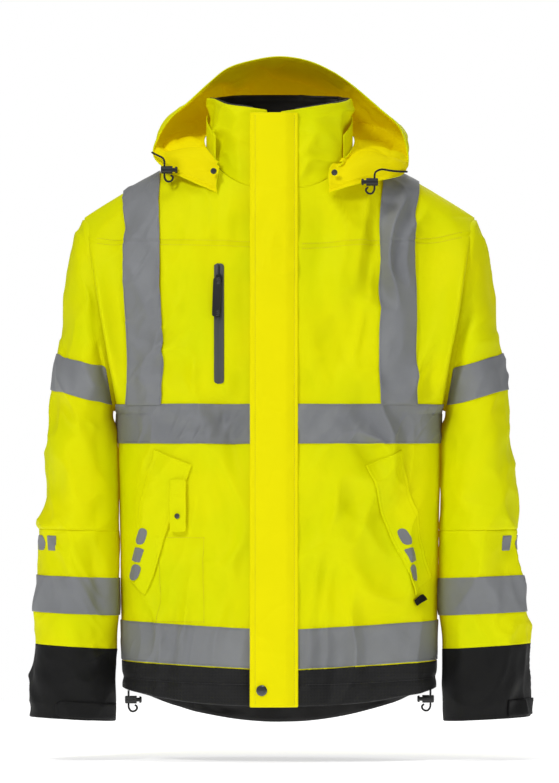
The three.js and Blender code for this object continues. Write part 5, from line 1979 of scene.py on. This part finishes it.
@dataclass
class HangerLoop:
    """The loop sewn inside the back neck that the jacket hangs by."""

    points: tuple = ((-25, 52, 752), (-22, 50, 745), (-15, 50, 738), (15, 50, 738), (22, 50, 745),
                     (25, 52, 752))
    radius: float = 1.6 * MM
    twist: float = 26.0
    steps: int = 90

    def build(self) -> None:
        """Makes a twisted cord along the loop."""
        line = catmull(np.array(self.points) * MM, np.linspace(0, 1, self.steps))
        turn, step = np.meshgrid(np.linspace(0, 2 * math.pi, 12, endpoint=False), np.arange(self.steps),
                                 indexing="ij")
        along = np.gradient(line, axis=0)
        along /= np.linalg.norm(along, axis=1, keepdims=True)
        side = np.cross(along, (0.0, 1.0, 0.0))
        side /= np.linalg.norm(side, axis=1, keepdims=True)
        up = np.cross(side, along)
        strand = self.radius * (0.9 + 0.12 * np.cos(2 * turn - step / self.steps * self.twist * 2 * math.pi))
        sideways, upwards = strand * np.cos(turn), strand * np.sin(turn)
        grid = line[step] + side[step] * sideways[..., None] + up[step] * upwards[..., None]
        facing = np.sum(grid_normals(grid, True) * (grid - line[step]))
        grid = grid if facing > 0 else grid[::-1]
        obj = cloth("hanger_loop_cord", grid, self.radius * 0.6, wraps=True)
        dress(obj, "torso", CORD.material(), "cord", "hanger_loop")


# ---- Hard parts that keep their CAD shape --------------------------------------------------------------

KEPT = {
    SNAP: ("flap_snap_cap", "flap_snap_stud", "snap_tab_stud", "hood_snap_left", "hood_snap_right"),
    SLIDER: ("main_zip_slider", "chest_zip_slider"),
    TEETH: ("main_zip",),
    MOULDED: tuple(f"{lock.name}_{part}" for lock in LOCKS for part in ("lock", "button")),
}


def finish_hard_parts() -> None:
    """Gives each CAD node that stays in view its finish."""
    for finish, names in KEPT.items():
        for name in names:
            obj = bpy.data.objects[name]
            obj.data.materials.clear()
            obj.data.materials.append(finish.material())
            log.info("%s keeps its shape, in %s", name, finish.name)


# ---- Studio -------------------------------------------------------------------------------------------


@dataclass
class Studio:
    """Camera, soft lights and a pale floor."""

    distance: float = 14.0
    plane_y: float = -0.10
    picture_height: float = 1.0022
    centre_z: float = -0.311
    floor_drop: float = 45 * MM
    floor_radius: float = 2.6
    surround: float = 0.2
    boxes: tuple = (("key", (-1.5, -2.4, 1.9), 0.7, 50), ("fill", (2.3, -2.2, 0.1), 1.2, 10),
                    ("top", (0.2, -0.6, 2.4), 1.0, 18), ("back", (0.6, 2.8, 1.4), 1.8, 30))

    def camera(self) -> None:
        """A long lens straight in front, level with the chest."""
        data = bpy.data.cameras.new("camera")
        data.lens = data.sensor_width * self.distance / self.picture_height
        data.clip_end = 100
        obj = bpy.data.objects.new("camera", data)
        obj.location = (0, self.plane_y - self.distance, self.centre_z)
        obj.rotation_euler = (math.pi / 2, 0, 0)
        bpy.context.scene.collection.objects.link(obj)
        bpy.context.scene.camera = obj

    def lights(self) -> None:
        """Soft boxes to the sides and above, in a pale surround that looks white but lights weakly."""
        world = bpy.data.worlds.new("surround")
        world.use_nodes = True
        nodes, links = world.node_tree.nodes, world.node_tree.links
        dim = nodes["Background"]
        dim.inputs["Color"].default_value = (1, 1, 1, 1)
        dim.inputs["Strength"].default_value = self.surround
        seen = nodes.new("ShaderNodeBackground")
        ray, blend = nodes.new("ShaderNodeLightPath"), nodes.new("ShaderNodeMixShader")
        links.new(ray.outputs["Is Camera Ray"], blend.inputs["Fac"])
        links.new(dim.outputs["Background"], blend.inputs[1])
        links.new(seen.outputs["Background"], blend.inputs[2])
        seen.inputs["Color"].default_value = (1, 1, 1, 1)
        links.new(blend.outputs["Shader"], nodes["World Output"].inputs["Surface"])
        bpy.context.scene.world = world
        for name, place, size, power in self.boxes:
            lamp = bpy.data.lights.new(name, "AREA")
            lamp.size, lamp.energy = size, power
            obj = bpy.data.objects.new(name, lamp)
            obj.location = place
            aim = Vector((0, 0, -0.3)) - obj.location
            obj.rotation_euler = aim.to_track_quat("-Z", "Y").to_euler()
            bpy.context.scene.collection.objects.link(obj)

    def floor(self) -> None:
        """A round pale floor under the jacket."""
        low = CAD_BOX[0].z - self.floor_drop
        turn = np.linspace(0, 2 * math.pi, 96, endpoint=False)
        rings = [np.stack([r * np.cos(turn), r * np.sin(turn), np.full_like(turn, low)], -1)
                 for r in (0.05, 0.5, self.floor_radius)]
        points = np.concatenate(rings) - ORIGIN
        n = len(turn)
        faces = [(r * n + k, r * n + n + k, r * n + n + (k + 1) % n, r * n + (k + 1) % n)
                 for r in range(2) for k in range(n)]
        faces.append(tuple(range(n)))
        obj = new_object("floor", points, faces)
        paper = bpy.data.materials.new("pale floor")
        paper.use_nodes = True
        shader = paper.node_tree.nodes["Principled BSDF"]
        shader.inputs["Base Color"].default_value = (0.92, 0.92, 0.92, 1)
        shader.inputs["Roughness"].default_value = 0.9
        shader.inputs["Emission Color"].default_value = (1, 1, 1, 1)
        shader.inputs["Emission Strength"].default_value = 0.6
        obj.data.materials.append(paper)


def main() -> None:
    """Builds the studio and then each part of the jacket."""
    logging.basicConfig(level=logging.INFO, format="%(name)s: %(message)s")
    bpy.context.scene.view_settings.view_transform = "Standard"
    studio = Studio()
    studio.camera()
    studio.lights()
    studio.floor()
    for lock in LOCKS:
        lock.build()
    for part in (Torso, Sleeves, Collar, Hood, StormFlap, ChestPocket, HandPockets, Stitching, HangerLoop):
        part().build()
    finish_hard_parts()


if __name__ == "__main__":
    main()
